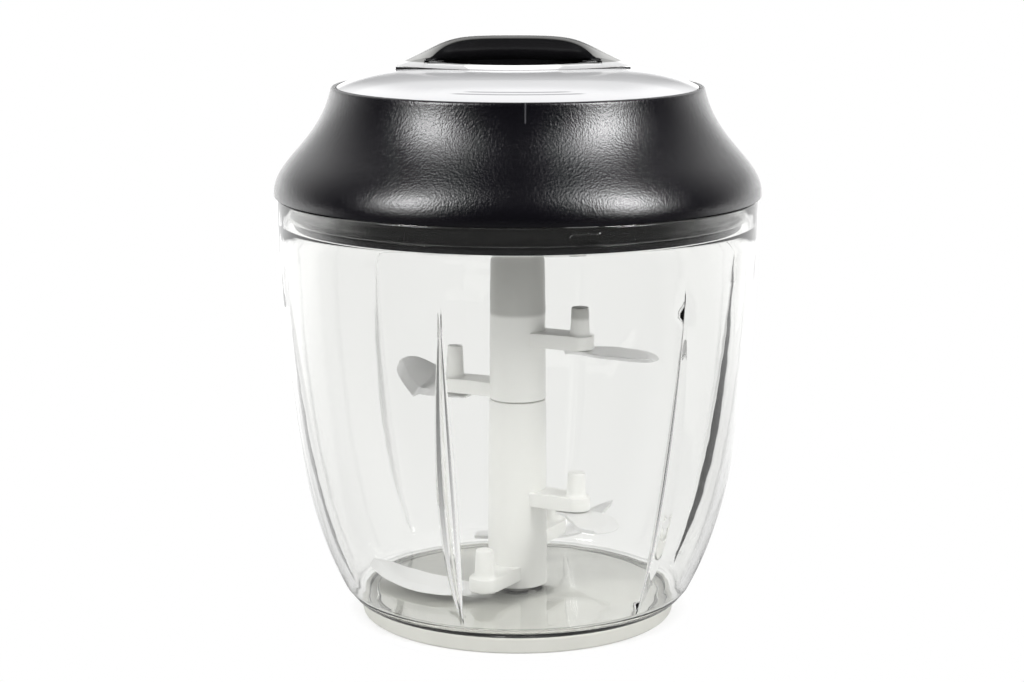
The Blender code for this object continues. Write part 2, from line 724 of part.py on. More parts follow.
def make_blade(body, steel, blade):
    arm = next(item for item in ARMS if item.name == blade.arm)
    controls = [polar(radius, arm.angle + turn) for radius, turn in (blade.heel, blade.knee, blade.tip)]
    top = arm.base - SEAT
    bend_start = ARM_REACH + ARM_END_RADIUS + BEND_MARGIN
    sections = []
    for k in range(BLADE_STATIONS):
        t = k / (BLADE_STATIONS - 1)
        middle = controls[0] * (1 - t) ** 2 + controls[1] * 2 * t * (1 - t) + controls[2] * t * t
        along = (controls[1] - controls[0]) * (1 - t) + (controls[2] - controls[1]) * t
        along.normalize()
        left = Vector((-along.y, along.x, 0))
        clear = ease((middle.length - bend_start) / (blade.tip[0] - bend_start))
        tilt = math.radians(blade.tilt) * ease(3 * clear)
        half = blade_width(blade, t) / 2
        bevel = min(BLADE_BEVEL, half)
        height = top + blade.rise * clear
        across = ((-half, 0), (-half, -BLADE_THICKNESS), (half, -BLADE_THICKNESS))
        across += ((half, BLADE_EDGE - BLADE_THICKNESS), (half - bevel, 0))
        section = []
        for side, depth in across:
            point = middle + left * side * math.cos(tilt)
            point.z = height + depth - side * math.sin(tilt)
            section.append(point)
        sections.append(section)
    result = piece(f"blade_{blade.name}", loft(sections), steel, body)
    hole = cylinder(STUD_RADIUS + SEAT, top - 3 * BLADE_THICKNESS, top + 3 * BLADE_THICKNESS, TINY_STEPS)
    combine(result, hole, "DIFFERENCE", "stud_hole", polar(ARM_REACH, arm.angle))


# Lid shell and its underside

def lid_outline():
    start = (LID_RADIUS, LID_Z)
    near = (LID_RADIUS + LID_SHOULDER_OUT, LID_Z + LID_SHOULDER_UP)
    far = (NECK_RADIUS + LID_NECK_OUT, NECK_Z - LID_NECK_DOWN)
    return bezier(start, near, far, (NECK_RADIUS, NECK_Z), LID_ROWS)


def make_lid_shell(body, black):
    outer = lid_outline()
    inner = offset_curve(outer, LID_WALL)[::2]
    flange_z = LID_Z + LID_FLANGE_THICKNESS
    inner = [point for point in inner if point[1] > flange_z + SEAT]
    inner[-1] = (NECK_RADIUS - LID_WALL, NECK_Z)
    flange_radius = SKIRT_RADIUS - LID_FLANGE_OVERLAP
    profile = outer + list(reversed(inner))
    profile += [(LID_RADIUS - LID_WALL, flange_z), (flange_radius, flange_z), (flange_radius, LID_Z)]
    shell = piece("lid_shell", turned(profile), black, body)
    roof = height_on(inner, LID_SCREW_CIRCLE + LID_POST_RADIUS) + LID_WALL / 2
    for angle in LID_SCREW_ANGLES:
        spot = polar(LID_SCREW_CIRCLE, angle)
        post = cylinder(LID_POST_RADIUS, LID_Z, roof)
        combine(shell, post, "UNION", f"post_{angle}", spot)
    for angle in LID_SCREW_ANGLES:
        spot = polar(LID_SCREW_CIRCLE, angle)
        pilot_top = PLATE_BOTTOM_Z - SEAT + LID_SCREW.shank_length + SEAT
        pilot = cylinder(LID_SCREW.shank_radius + SEAT, LID_Z - SEAT, pilot_top, TINY_STEPS)
        combine(shell, pilot, "DIFFERENCE", f"pilot_{angle}", spot)


def make_lid_base(body, black):
    """A plate with a skirt, the posts that carry the reel, and the post of the guide pulley."""
    hole = BUSH_RADIUS + SEAT
    skirt_inner = SKIRT_RADIUS - SKIRT_WALL
    bead_top = SKIRT_BOTTOM_Z + BEAD_HEIGHT
    profile = [
        (hole, PLATE_BOTTOM_Z),
        (skirt_inner, PLATE_BOTTOM_Z),
        (skirt_inner, SKIRT_BOTTOM_Z),
        (SKIRT_RADIUS + BEAD, SKIRT_BOTTOM_Z),
        (SKIRT_RADIUS + BEAD, bead_top),
        (SKIRT_RADIUS, bead_top + BEAD),
        (SKIRT_RADIUS, PLATE_TOP_Z),
        (hole, PLATE_TOP_Z),
    ]
    base = piece("lid_base", turned(profile), black, body)
    for angle in LID_SCREW_ANGLES:
        shank = cylinder(LID_SCREW.shank_radius + SEAT, PLATE_BOTTOM_Z - SEAT, PLATE_TOP_Z + SEAT, TINY_STEPS)
        combine(base, shank, "DIFFERENCE", f"screw_{angle}", polar(LID_SCREW_CIRCLE, angle))
    post_top = EAR_Z - SEAT
    post_bottom = PLATE_TOP_Z - PLATE_THICKNESS / 2
    for angle in EAR_ANGLES:
        spot = polar(EAR_CIRCLE, angle)
        post = cylinder(CASE_POST_RADIUS, post_bottom, post_top)
        combine(base, post, "UNION", f"post_{angle}", spot)
        pilot_bottom = CASE_ROOF_Z + SEAT - CASE_SCREW.shank_length - SEAT
        pilot = cylinder(CASE_SCREW.shank_radius + SEAT, pilot_bottom, post_top + SEAT, TINY_STEPS)
        combine(base, pilot, "DIFFERENCE", f"pilot_{angle}", spot)
    near = PULLEY_HALF_WIDTH + PULLEY_POST_GAP
    half = PULLEY_POST_LENGTH / 2
    foot = post_bottom - PULLEY_Z
    low = (near, -half, foot)
    high = (near + PULLEY_POST_THICKNESS, half, PULLEY_POST_ABOVE)
    turn = (0, 0, TOUCH_ANGLE)
    combine(base, box(low, high), "UNION", "pulley_post", PULLEY_CENTRE, turn)
    reach = near + PULLEY_POST_THICKNESS + SEAT
    bore = cylinder(PULLEY_AXLE_RADIUS + SEAT, near - SEAT, reach, TINY_STEPS)
    combine(base, bore, "DIFFERENCE", "axle_bore", PULLEY_CENTRE, (0, math.pi / 2, TOUCH_ANGLE))


def make_sealing_ring(body, silicone):
    inner = SKIRT_RADIUS + SEAT
    outer = BOWL_RIM_RADIUS - COLLAR_WALL - 2 * SEAT
    low = SKIRT_BOTTOM_Z + BEAD_HEIGHT + BEAD + SEAT
    high = PLATE_TOP_Z
    middle = (low + high) / 2
    waist = outer - SEAL_LIP
    profile = [
        (inner, low),
        (outer, low),
        (waist, middle),
        (outer, high),
        (inner, high),
    ]
    piece("sealing_ring", turned(profile), silicone, body)


def cap_height(radius):
    return CAP_Z + CAP_EDGE + CAP_RISE * (1 - (radius / (NECK_RADIUS - CAP_OVERHANG)) ** CAP_POWER)


def make_top_cap(body, grey):
    edge = NECK_RADIUS - CAP_OVERHANG
    skirt = NECK_RADIUS - LID_WALL - SEAT
    skirt_bottom = CAP_Z - CAP_SKIRT_DEPTH
    shares = (0.98, 0.94, 0.87, 0.76, 0.6, 0.3)
    over = [(edge * share, cap_height(edge * share)) for share in shares]
    limit = skirt - CAP_SKIRT_WALL
    under = [(radius, height - CAP_THICKNESS) for radius, height in over if radius < limit][::2]
    profile = [(edge, CAP_Z), (edge, CAP_Z + CAP_EDGE)] + over + [(0, cap_height(0))]
    profile += [(0, cap_height(0) - CAP_THICKNESS)] + list(reversed(under))
    profile += [(limit, cap_height(limit) - CAP_THICKNESS), (limit, skirt_bottom)]
    profile += [(skirt, skirt_bottom), (skirt, CAP_Z)]
    mesh = turned_shell(profile)
    cap = piece("top_cap", mesh, grey, body)
    hole = prism(lens(*grown(HANDLE_LENS, CAP_LENS_GAP)), CAP_Z, CAP_TOP_Z + CAP_THICKNESS)
    combine(cap, hole, "DIFFERENCE", "handle_hole")


def turned_shell(profile):
    """A solid turned about Z from a closed outline that meets the axis at two points."""
    start = next(k for k, point in enumerate(profile) if point[0] == 0)
    return turned(profile[start + 1:] + profile[:start + 1])


def make_handle_dock(body, black):
    """The seat that the handle stands in, with the finger well and the cord's hole."""
    outer = grown(HANDLE_LENS, DOCK_LENS_INSET)
    mouth = grown(outer, -DOCK_WALL)
    dock = piece("handle_dock", prism(lens(*outer), DOCK_Z, DOCK_TOP_Z), black, body)
    flange_top = CAP_TOP_Z - DOCK_FLANGE_DROP
    flange = prism(lens(*grown(outer, DOCK_FLANGE)), flange_top - DOCK_FLANGE_THICKNESS, flange_top)
    combine(dock, flange, "UNION", "flange")
    combine(dock, prism(lens(*mouth), LEDGE_Z, DOCK_TOP_Z + SEAT), "DIFFERENCE", "mouth")
    combine(dock, prism(lens(*WELL_LENS), WELL_FLOOR_Z, LEDGE_Z + SEAT), "DIFFERENCE", "well")
    floor = EYELET_TOP_Z - EYELET_FLANGE_THICKNESS - SEAT
    shoulder = EYELET_TOP_Z - EYELET_LENGTH - SEAT
    flange_hole = EYELET_RADIUS + EYELET_FLANGE + SEAT
    tube_hole = EYELET_RADIUS + SEAT
    passage = CORD_RADIUS + 3 * SEAT
    profile = [
        (0, DOCK_Z - SEAT),
        (passage, DOCK_Z - SEAT),
        (passage, shoulder),
        (tube_hole, shoulder),
        (tube_hole, floor),
        (flange_hole, floor),
        (flange_hole, LEDGE_Z + SEAT),
        (0, LEDGE_Z + SEAT),
    ]
    combine(dock, turned(profile, SMALL_STEPS), "DIFFERENCE", "eyelet_hole", ENTRY)


def make_cord_eyelet(body, steel):
    bore = CORD_RADIUS + SEAT
    flare = bore + EYELET_FLARE
    flange_z = EYELET_TOP_Z - EYELET_FLANGE_THICKNESS
    bottom = EYELET_TOP_Z - EYELET_LENGTH
    profile = [
        (bore, bottom),
        (EYELET_RADIUS, bottom),
        (EYELET_RADIUS, flange_z),
        (EYELET_RADIUS + EYELET_FLANGE, flange_z),
        (EYELET_RADIUS + EYELET_FLANGE, EYELET_TOP_Z),
        (flare, EYELET_TOP_Z),
        (bore, flange_z),
    ]
    piece("cord_eyelet", turned(profile, SMALL_STEPS), steel, body, ENTRY)


# Reel, clutch and drive

def make_drive_bush(body, bronze):
    flange = BUSH_RADIUS + BUSH_FLANGE
    profile = [
        (BUSH_BORE, BUSH_BOTTOM_Z),
        (BUSH_RADIUS, BUSH_BOTTOM_Z),
        (BUSH_RADIUS, BUSH_TOP_Z - BUSH_FLANGE_THICKNESS),
        (flange, BUSH_TOP_Z - BUSH_FLANGE_THICKNESS),
        (flange, BUSH_TOP_Z),
        (BUSH_BORE, BUSH_TOP_Z),
    ]
    piece("drive_bush", turned(profile, STEPS // 2), bronze, body)


def make_drive_spigot(body, grey):
    collar_top = SPIGOT_COLLAR_Z + SPIGOT_COLLAR_HEIGHT
    profile = [
        (0, SPIGOT_COLLAR_Z),
        (SPIGOT_COLLAR_RADIUS, SPIGOT_COLLAR_Z),
        (SPIGOT_COLLAR_RADIUS, collar_top),
        (JOURNAL_RADIUS, collar_top),
        (JOURNAL_RADIUS, BUSH_TOP_Z),
        (0, BUSH_TOP_Z),
    ]
    spigot = piece("drive_spigot", turned(profile, STEPS // 2), grey, body)
    bar = hexagon(TENON_RADIUS, SPIGOT_TIP_Z, SPIGOT_COLLAR_Z + SPIGOT_COLLAR_HEIGHT / 2)
    combine(spigot, bar, "UNION", "bar")
    tenon = hexagon(CUP_TENON_RADIUS, BUSH_TOP_Z - CUP_TENON_RADIUS, CUP_FLOOR_Z - SEAT)
    combine(spigot, tenon, "UNION", "tenon")
    bottom = PAWL_Z - SPIGOT_SCREW.shank_length - SEAT
    bore = cylinder(SPIGOT_SCREW.shank_radius + SEAT, bottom, CUP_FLOOR_Z + SEAT, TINY_STEPS)
    combine(spigot, bore, "DIFFERENCE", "screw_bore")


def ratchet_outline():
    """Saw teeth round the inside of the cup, steep on the side that the pawls push."""
    pitch = 360 / TOOTH_COUNT
    points = []
    for tooth in range(TOOTH_COUNT):
        face = tooth * pitch
        points.append(polar(TOOTH_ROOT_RADIUS, face - TOOTH_FLAT))
        points.append(polar(TOOTH_ROOT_RADIUS, face))
        points.append(polar(TOOTH_TIP_RADIUS, face + TOOTH_LEAN))
        middle_radius = (TOOTH_ROOT_RADIUS + TOOTH_TIP_RADIUS) / 2
        points.append(polar(middle_radius, face + (pitch - TOOTH_FLAT + TOOTH_LEAN) / 2))
    return [(point.x, point.y) for point in points]


def make_ratchet_cup(body, white):
    outside = cylinder(CUP_RADIUS, CUP_Z, SPOOL_Z - SEAT, REEL_STEPS)
    cup = piece("ratchet_cup", outside, white, body)
    teeth = prism(ratchet_outline(), CUP_FLOOR_Z, SPOOL_Z)
    combine(cup, teeth, "DIFFERENCE", "teeth")
    hole = hexagon(CUP_TENON_RADIUS + SOCKET_RADIUS - TENON_RADIUS, CUP_Z - SEAT, CUP_FLOOR_Z + SEAT)
    combine(cup, hole, "DIFFERENCE", "tenon_hole")


def make_cord_spool(body, white):
    bore = AXLE_RADIUS + SEAT
    profile = [
        (bore, SPOOL_Z),
        (SPOOL_FLANGE_RADIUS, SPOOL_Z),
        (SPOOL_FLANGE_RADIUS, GROOVE_Z),
        (SPOOL_HUB_RADIUS, GROOVE_Z),
        (SPOOL_HUB_RADIUS, GROOVE_TOP_Z),
        (SPOOL_FLANGE_RADIUS, GROOVE_TOP_Z),
        (SPOOL_FLANGE_RADIUS, SPOOL_TOP_Z),
        (ARBOR_RADIUS, SPOOL_TOP_Z),
        (ARBOR_RADIUS, ARBOR_TOP_Z),
        (bore, ARBOR_TOP_Z),
    ]
    spool = piece("cord_spool", turned(profile, REEL_STEPS), white, body)
    for angle in pawl_angles():
        pin = cylinder(PAWL_PIN_RADIUS, PAWL_Z, SPOOL_Z + SPOOL_FLANGE_THICKNESS / 2, TINY_STEPS)
        combine(spool, pin, "UNION", f"pawl_pin_{round(angle)}", polar(PAWL_PIVOT_CIRCLE, angle))


def pawl_angles():
    """Pivots of the two pawls, so that each nose stands just behind the face of a tooth."""
    first = -PAWL_FACE_GAP - PAWL_NOSE_ANGLE
    return [first, first + 180]


def make_cord_coil(body, cord):
    low, high = GROOVE_Z + SEAT, GROOVE_TOP_Z - SEAT
    radius = INNER_LAYER_RADIUS
    ring = tube(radius - CORD_RADIUS, radius + CORD_RADIUS, low, high, REEL_STEPS)
    piece("cord_coil", ring, cord, body)


def make_pawl(name, body, angle, nylon):
    """A curved finger from its pivot to a nose in the root of a tooth."""
    centre = polar(PAWL_PIVOT_CIRCLE, angle)
    reach = TOOTH_ROOT_RADIUS - SEAT
    face = angle + PAWL_NOSE_ANGLE
    nose_out = polar(reach, face) - centre
    nose_in = polar(reach - PAWL_NOSE_WIDTH, face + TOOTH_LEAN) - centre
    back_turn = math.degrees(PAWL_NOSE_WIDTH / reach)
    nose_back = polar(reach, face - back_turn) - centre
    lead = math.atan2(nose_in.y, nose_in.x)
    outline = [(nose_out.x, nose_out.y), (nose_back.x, nose_back.y)]
    steps = ROUND_END_STEPS
    for k in range(steps + 1):
        turn = lead - math.pi / 2 - math.pi * k / steps
        outline.append((PAWL_BOSS_RADIUS * math.cos(turn), PAWL_BOSS_RADIUS * math.sin(turn)))
    outline.append((nose_in.x, nose_in.y))
    mesh = prism(outline, PAWL_Z, PAWL_Z + PAWL_THICKNESS)
    pawl = piece(name, mesh, nylon, body, centre)
    hole = cylinder(PAWL_PIN_RADIUS + SEAT, PAWL_Z - SEAT, SPOOL_Z, TINY_STEPS)
    combine(pawl, hole, "DIFFERENCE", "pin_hole", centre)


def make_spring_case(body, grey):
    """A cup upside down over the recoil spring, with three ears on posts of the lid base."""
    head = AXLE_HEAD_RADIUS + SEAT
    bore = AXLE_RADIUS + SEAT
    recess = CASE_TOP_Z - AXLE_HEAD_THICKNESS - 2 * SEAT
    profile = [
        (CASE_RADIUS - CASE_WALL, CASE_Z),
        (CASE_RADIUS, CASE_Z),
        (CASE_RADIUS, CASE_TOP_Z),
        (head, CASE_TOP_Z),
        (head, recess),
        (bore, recess),
        (bore, CASE_ROOF_Z),
        (CASE_RADIUS - CASE_WALL, CASE_ROOF_Z),
    ]
    case = piece("spring_case", turned(profile, REEL_STEPS), grey, body)
    half = EAR_WIDTH / 2
    for angle in EAR_ANGLES:
        low = (CASE_RADIUS - CASE_WALL / 2, -half, EAR_Z)
        high = (EAR_CIRCLE, half, CASE_ROOF_Z)
        combine(case, box(low, high), "UNION", f"ear_{angle}", (0, 0, 0), (0, 0, math.radians(angle)))
        spot = polar(EAR_CIRCLE, angle)
        eye = cylinder(EAR_RADIUS, EAR_Z - BLEND, CASE_ROOF_Z + BLEND, REEL_STEPS // 2)
        combine(case, eye, "UNION", f"eye_{angle}", spot)
        hole = cylinder(CASE_SCREW.shank_radius + SEAT, EAR_Z - SEAT, CASE_ROOF_Z + SEAT, TINY_STEPS)
        combine(case, hole, "DIFFERENCE", f"hole_{angle}", spot)


def make_recoil_spring(body, steel):
    """A flat strip wound from the arbor out to the wall of its case."""
    start = ARBOR_RADIUS + SPRING_CLEARANCE + SPRING_THICKNESS / 2
    end = CASE_RADIUS - CASE_WALL - SPRING_CLEARANCE - SPRING_THICKNESS / 2
    count = SPRING_TURNS * SPRING_POINTS_PER_TURN
    half = SPRING_THICKNESS / 2
    sections = []
    for k in range(count + 1):
        radius = start + (end - start) * k / count
        degrees = 360 * SPRING_TURNS * k / count
        sections.append([
            polar(radius - half, degrees, SPRING_Z),
            polar(radius + half, degrees, SPRING_Z),
            polar(radius + half, degrees, SPRING_Z + SPRING_HEIGHT),
            polar(radius - half, degrees, SPRING_Z + SPRING_HEIGHT),
        ])
    piece("recoil_spring", loft(sections), steel, body)


def make_spool_axle(body, steel):
    head_top = CASE_TOP_Z - SEAT
    head_bottom = head_top - AXLE_HEAD_THICKNESS
    bore = AXLE_SCREW.shank_radius + SEAT
    bore_top = SPOOL_Z - SEAT + AXLE_SCREW.shank_length + SEAT
    profile = [
        (0, bore_top),
        (bore, bore_top),
        (bore, SPOOL_Z),
        (AXLE_RADIUS, SPOOL_Z),
        (AXLE_RADIUS, head_bottom),
        (AXLE_HEAD_RADIUS, head_bottom),
        (AXLE_HEAD_RADIUS, head_top),
        (0, head_top),
    ]
    piece("spool_axle", turned(profile, SMALL_STEPS), steel, body)


def make_guide_pulley(body, white):
    inner = PULLEY_AXLE_RADIUS + SEAT
    cheek = PULLEY_HALF_WIDTH - PULLEY_RIM
    profile = [
        (inner, -PULLEY_HALF_WIDTH),
        (PULLEY_FLANGE_RADIUS, -PULLEY_HALF_WIDTH),
        (PULLEY_FLANGE_RADIUS, -cheek),
        (PULLEY_GROOVE_RADIUS, -PULLEY_GROOVE_HALF_WIDTH),
        (PULLEY_GROOVE_RADIUS, PULLEY_GROOVE_HALF_WIDTH),
        (PULLEY_FLANGE_RADIUS, cheek),
        (PULLEY_FLANGE_RADIUS, PULLEY_HALF_WIDTH),
        (inner, PULLEY_HALF_WIDTH),
    ]
    turn = (0, math.pi / 2, TOUCH_ANGLE)
    piece("guide_pulley", turned(profile, SMALL_STEPS), white, body, PULLEY_CENTRE, turn)


def make_pulley_axle(body, steel):
    inner_end = -PULLEY_HALF_WIDTH - SEAT
    outer_end = PULLEY_HALF_WIDTH + PULLEY_POST_GAP + PULLEY_POST_THICKNESS
    profile = [
        (0, inner_end - PULLEY_HEAD_THICKNESS),
        (PULLEY_HEAD_RADIUS, inner_end - PULLEY_HEAD_THICKNESS),
        (PULLEY_HEAD_RADIUS, inner_end),
        (PULLEY_AXLE_RADIUS, inner_end),
        (PULLEY_AXLE_RADIUS, outer_end),
        (0, outer_end),
    ]
    turn = (0, math.pi / 2, TOUCH_ANGLE)
    piece("pulley_axle", turned(profile, TINY_STEPS), steel, body, PULLEY_CENTRE, turn)


def cord_points():
    """The cord as it lies taut: knot, pulley, run to the reel, then its outer layer."""
    points = []
    steps = 4
    for k in range(steps):
        height = KNOT_FLOOR_Z + (PULLEY_Z - KNOT_FLOOR_Z) * k / steps
        points.append(ENTRY + Vector((0, 0, height)))
    steps = 5
    for k in range(steps):
        turn = math.pi / 2 * k / (steps - 1)
        offset = RUN_DIRECTION * -math.cos(turn) - Vector((0, 0, math.sin(turn)))
        points.append(PULLEY_CENTRE + offset * PULLEY_CORD_RADIUS)
    steps = 4
    leave = points[-1]
    touch = TOUCH + Vector((0, 0, RUN_Z))
    points += [leave.lerp(touch, k / steps) for k in range(1, steps)]
    count = round(COIL_TURNS * CORD_POINTS_PER_TURN)
    for k in range(count + 1):
        turns = COIL_TURNS * k / count
        angle = math.degrees(TOUCH_ANGLE) - 360 * turns
        points.append(polar(CORD_LAYER_RADIUS, angle, RUN_Z + CORD_PITCH * turns))
    return points


def least_gap(points):
    """The smallest clear distance from the cord to itself, past its own neighbourhood."""
    near = 4 * CORD_RADIUS
    along = [0.0]
    for first, second in zip(points, points[1:]):
        along.append(along[-1] + (second - first).length)
    gap = math.inf
    for i, point in enumerate(points):
        for j in range(i + 1, len(points)):
            if along[j] - along[i] > 2 * near:
                gap = min(gap, (point - points[j]).length - 2 * CORD_RADIUS)
    return gap


def make_pull_cord(body, cord):
    points = cord_points()
    print(f"pull_cord: least gap to itself {least_gap(points) * 1000:.2f} mm")
    curve = bpy.data.curves.new("pull_cord", "CURVE")
    curve.dimensions = "3D"
    curve.bevel_depth = CORD_RADIUS
    curve.bevel_resolution = 2
    curve.use_fill_caps = True
    spline = curve.splines.new("POLY")
    spline.points.add(len(points) - 1)
    for target, point in zip(spline.points, points):
        target.co = (*point, 1.0)
    curve.materials.append(cord)
    result = bpy.data.objects.new("pull_cord", curve)
    bpy.context.scene.collection.objects.link(result)
    result.parent = body
    result.location = -body.matrix_world.translation


# Handle

def crest(x):
    """Height of the arch above the handle's base at a distance from its middle."""
    curve = bezier(
        (0, CREST_HEIGHT),
        (CREST_NEAR, CREST_HEIGHT),
        CREST_FAR,
        (HANDLE_LENS[0], CREST_TIP),
        30,
    )
    return height_on(curve, abs(x))


def lens_half_depth(x, size):
    return size[1] * (1 - (x / size[0]) ** 2)


def bar_half_depth(x):
    flare = BAR_FLARE * (abs(x) / BAR_FLARE_REACH) ** BAR_FLARE_POWER
    return min((BAR_DEPTH + flare) / 2, lens_half_depth(x, HANDLE_LENS))


def crown_drop(x):
    """How far the long edges of the arch lie below its crest."""
    swell = CROWN + END_CROWN * (bar_half_depth(x) / END_CROWN_HALF_DEPTH) ** 2
    return min(swell, END_SHARE * crest(x))


def handle_stations():
    """Places along the arch, closer where it bends, with a step at each end of the opening."""
    open_part = [HANDLE_END * share for share in OPEN_SHARES]
    near = HANDLE_END + END_STEP
    far = HANDLE_LENS[0] - HANDLE_TIP
    closed_part = [near + (far - near) * share for share in CLOSED_SHARES]
    right = [(x, True) for x in open_part] + [(x, False) for x in closed_part]
    left = [(-x, is_open) for x, is_open in reversed(right[1:])]
    return left + right


def arch_section(x, is_open):
    half = max(bar_half_depth(x), CREST_TIP)
    top = HANDLE_Z + crest(x)
    side = top - crown_drop(x)
    bottom = side - STRIP_EDGE if is_open else HANDLE_Z
    side = max(side, bottom + END_STEP)
    near = ARCH_SHOULDER[0] * half
    shoulder = side + ARCH_SHOULDER[1] * (top - side)
    across = [(-half, bottom), (half, bottom), (half, side), (near, shoulder)]
    across += [(0, top), (-near, shoulder), (-half, side)]
    return [(x + HANDLE_OFFSET, y, z) for y, z in across]


def ring_inner_depth(x):
    inner_size = (HANDLE_END + RING_WIDTH, HANDLE_LENS[1] - RING_WIDTH)
    return max(lens_half_depth(x, inner_size), RING_WIDTH)


def ring_section(x, side):
    """The thin ring that frames the finger opening; a scoop slopes down its front."""
    outer = lens_half_depth(x, HANDLE_LENS) - BLEND
    inner = ring_inner_depth(x)
    top = HANDLE_Z + RING_HEIGHT
    edge = top
    if side < 0:
        edge -= SCOOP_DEPTH * (1 - ease((abs(x) - SCOOP_HALF_LENGTH) / SCOOP_SLOPE))
    low = HANDLE_Z + BLEND
    across = [(side * inner, low), (side * outer, low), (side * outer, edge), (side * inner, top)]
    return [(x + HANDLE_OFFSET, y, z) for y, z in across]


def make_handle_cover(body, grey):
    arch = loft([arch_section(x, is_open) for x, is_open in handle_stations()])
    cover = piece("handle_cover", arch, grey, body)
    reach = HANDLE_END + RING_WIDTH / 2
    half = SCOOP_HALF_LENGTH
    rest = reach - half - SCOOP_SLOPE
    right = [0.0, half / 2, half, half + SCOOP_SLOPE / 2]
    right += [half + SCOOP_SLOPE + rest * k / RING_END_STEPS for k in range(RING_END_STEPS + 1)]
    stations = [-x for x in reversed(right[1:])] + right
    for side, label in ((-1, "front_ring"), (1, "rear_ring")):
        combine(cover, loft([ring_section(x, side) for x in stations]), "UNION", label)
    spot = (HANDLE_OFFSET + HANDLE_SCREW_X, 0, 0)
    pilot_top = HANDLE_PLATE_Z + 2 * SEAT + HANDLE_SCREW.head_height + HANDLE_SCREW.shank_length + SEAT
    pilot = cylinder(HANDLE_SCREW.shank_radius + SEAT, HANDLE_Z - SEAT, pilot_top, TINY_STEPS)
    combine(cover, pilot, "DIFFERENCE", "pilot", spot)


def make_handle_grip(body, black):
    """The rounded bar under the arch that the fingers pull on."""
    sections = []
    floor = HANDLE_Z + RING_HEIGHT + SEAT
    right = [x for x, is_open in handle_stations() if is_open and 0 <= x < HANDLE_END]
    for x in [-x for x in reversed(right[1:])] + right:
        half = min(bar_half_depth(x), GRIP_HALF_WIDTH)
        top = HANDLE_Z + crest(x) - crown_drop(x) - STRIP_EDGE - SEAT
        depth = min(GRIP_THICKNESS, top - floor)
        section = [(x + HANDLE_OFFSET, half, top), (x + HANDLE_OFFSET, -half, top)]
        for k in range(GRIP_STEPS + 1):
            turn = math.pi * k / GRIP_STEPS
            y = -half * math.cos(turn)
            z = top - depth * (GRIP_SIDE + (1 - GRIP_SIDE) * math.sin(turn))
            section.append((x + HANDLE_OFFSET, y, z))
        sections.append(section)
    piece("handle_grip", loft(sections), black, body)


def liner_outline():
    """The black lining inside the handle's ring, cut square at both ends."""
    points = []
    for side in (-1, 1):
        for k in range(LINER_STEPS + 1):
            x = side * LINER_END * (1 - 2 * k / LINER_STEPS)
            points.append((x + HANDLE_OFFSET, -side * (ring_inner_depth(x) - SEAT)))
    return points


def make_handle_plate(body, black):
    """The ring below the handle that plugs into the dock and holds the knot."""
    mouth = grown(grown(HANDLE_LENS, DOCK_LENS_INSET), -DOCK_WALL)
    outer = lens(*grown(mouth, -HANDLE_PLATE_GAP))
    plate = piece("handle_plate", prism(outer, HANDLE_PLATE_Z, DOCK_TOP_Z), black, body)
    liner_top = HANDLE_Z + RING_HEIGHT - BLEND
    combine(plate, prism(liner_outline(), DOCK_TOP_Z - SEAT, liner_top), "UNION", "liner")
    opening = prism(lens(*PLATE_LENS), HANDLE_PLATE_Z - SEAT, DOCK_TOP_Z - SEAT)
    combine(plate, opening, "DIFFERENCE", "opening")
    mouth = prism(lens(*LINER_LENS), DOCK_TOP_Z - 2 * SEAT, liner_top + SEAT)
    combine(plate, mouth, "DIFFERENCE", "liner_mouth")
    hole = CORD_RADIUS + SEAT
    pocket = KNOT_RADIUS + SEAT
    profile = [
        (0, HANDLE_PLATE_Z - SEAT),
        (hole, HANDLE_PLATE_Z - SEAT),
        (hole, KNOT_FLOOR_Z),
        (pocket, KNOT_FLOOR_Z),
        (pocket, DOCK_TOP_Z + SEAT),
        (0, DOCK_TOP_Z + SEAT),
    ]
    combine(plate, turned(profile, SMALL_STEPS), "DIFFERENCE", "knot_pocket", ENTRY)
    shank = HANDLE_SCREW.shank_radius + SEAT
    head = HANDLE_SCREW.head_radius + SEAT
    seat_z = HANDLE_PLATE_Z + SEAT + HANDLE_SCREW.head_height + SEAT
    profile = [
        (0, HANDLE_PLATE_Z - SEAT),
        (head, HANDLE_PLATE_Z - SEAT),
        (head, seat_z),
        (shank, seat_z),
        (shank, DOCK_TOP_Z + SEAT),
        (0, DOCK_TOP_Z + SEAT),
    ]
    spot = (HANDLE_OFFSET + HANDLE_SCREW_X, 0, 0)
    combine(plate, turned(profile, TINY_STEPS), "DIFFERENCE", "screw_hole", spot)


def make_cord_knot(body, cord):
    low = KNOT_FLOOR_Z + SEAT
    high = low + KNOT_HEIGHT
    soft = KNOT_FLAT * KNOT_RADIUS
    middle = (low + high) / 2
    profile = [(0, low), (soft, low), (KNOT_RADIUS, middle), (soft, high), (0, high)]
    piece("cord_knot", turned(profile, TINY_STEPS), cord, body, ENTRY)


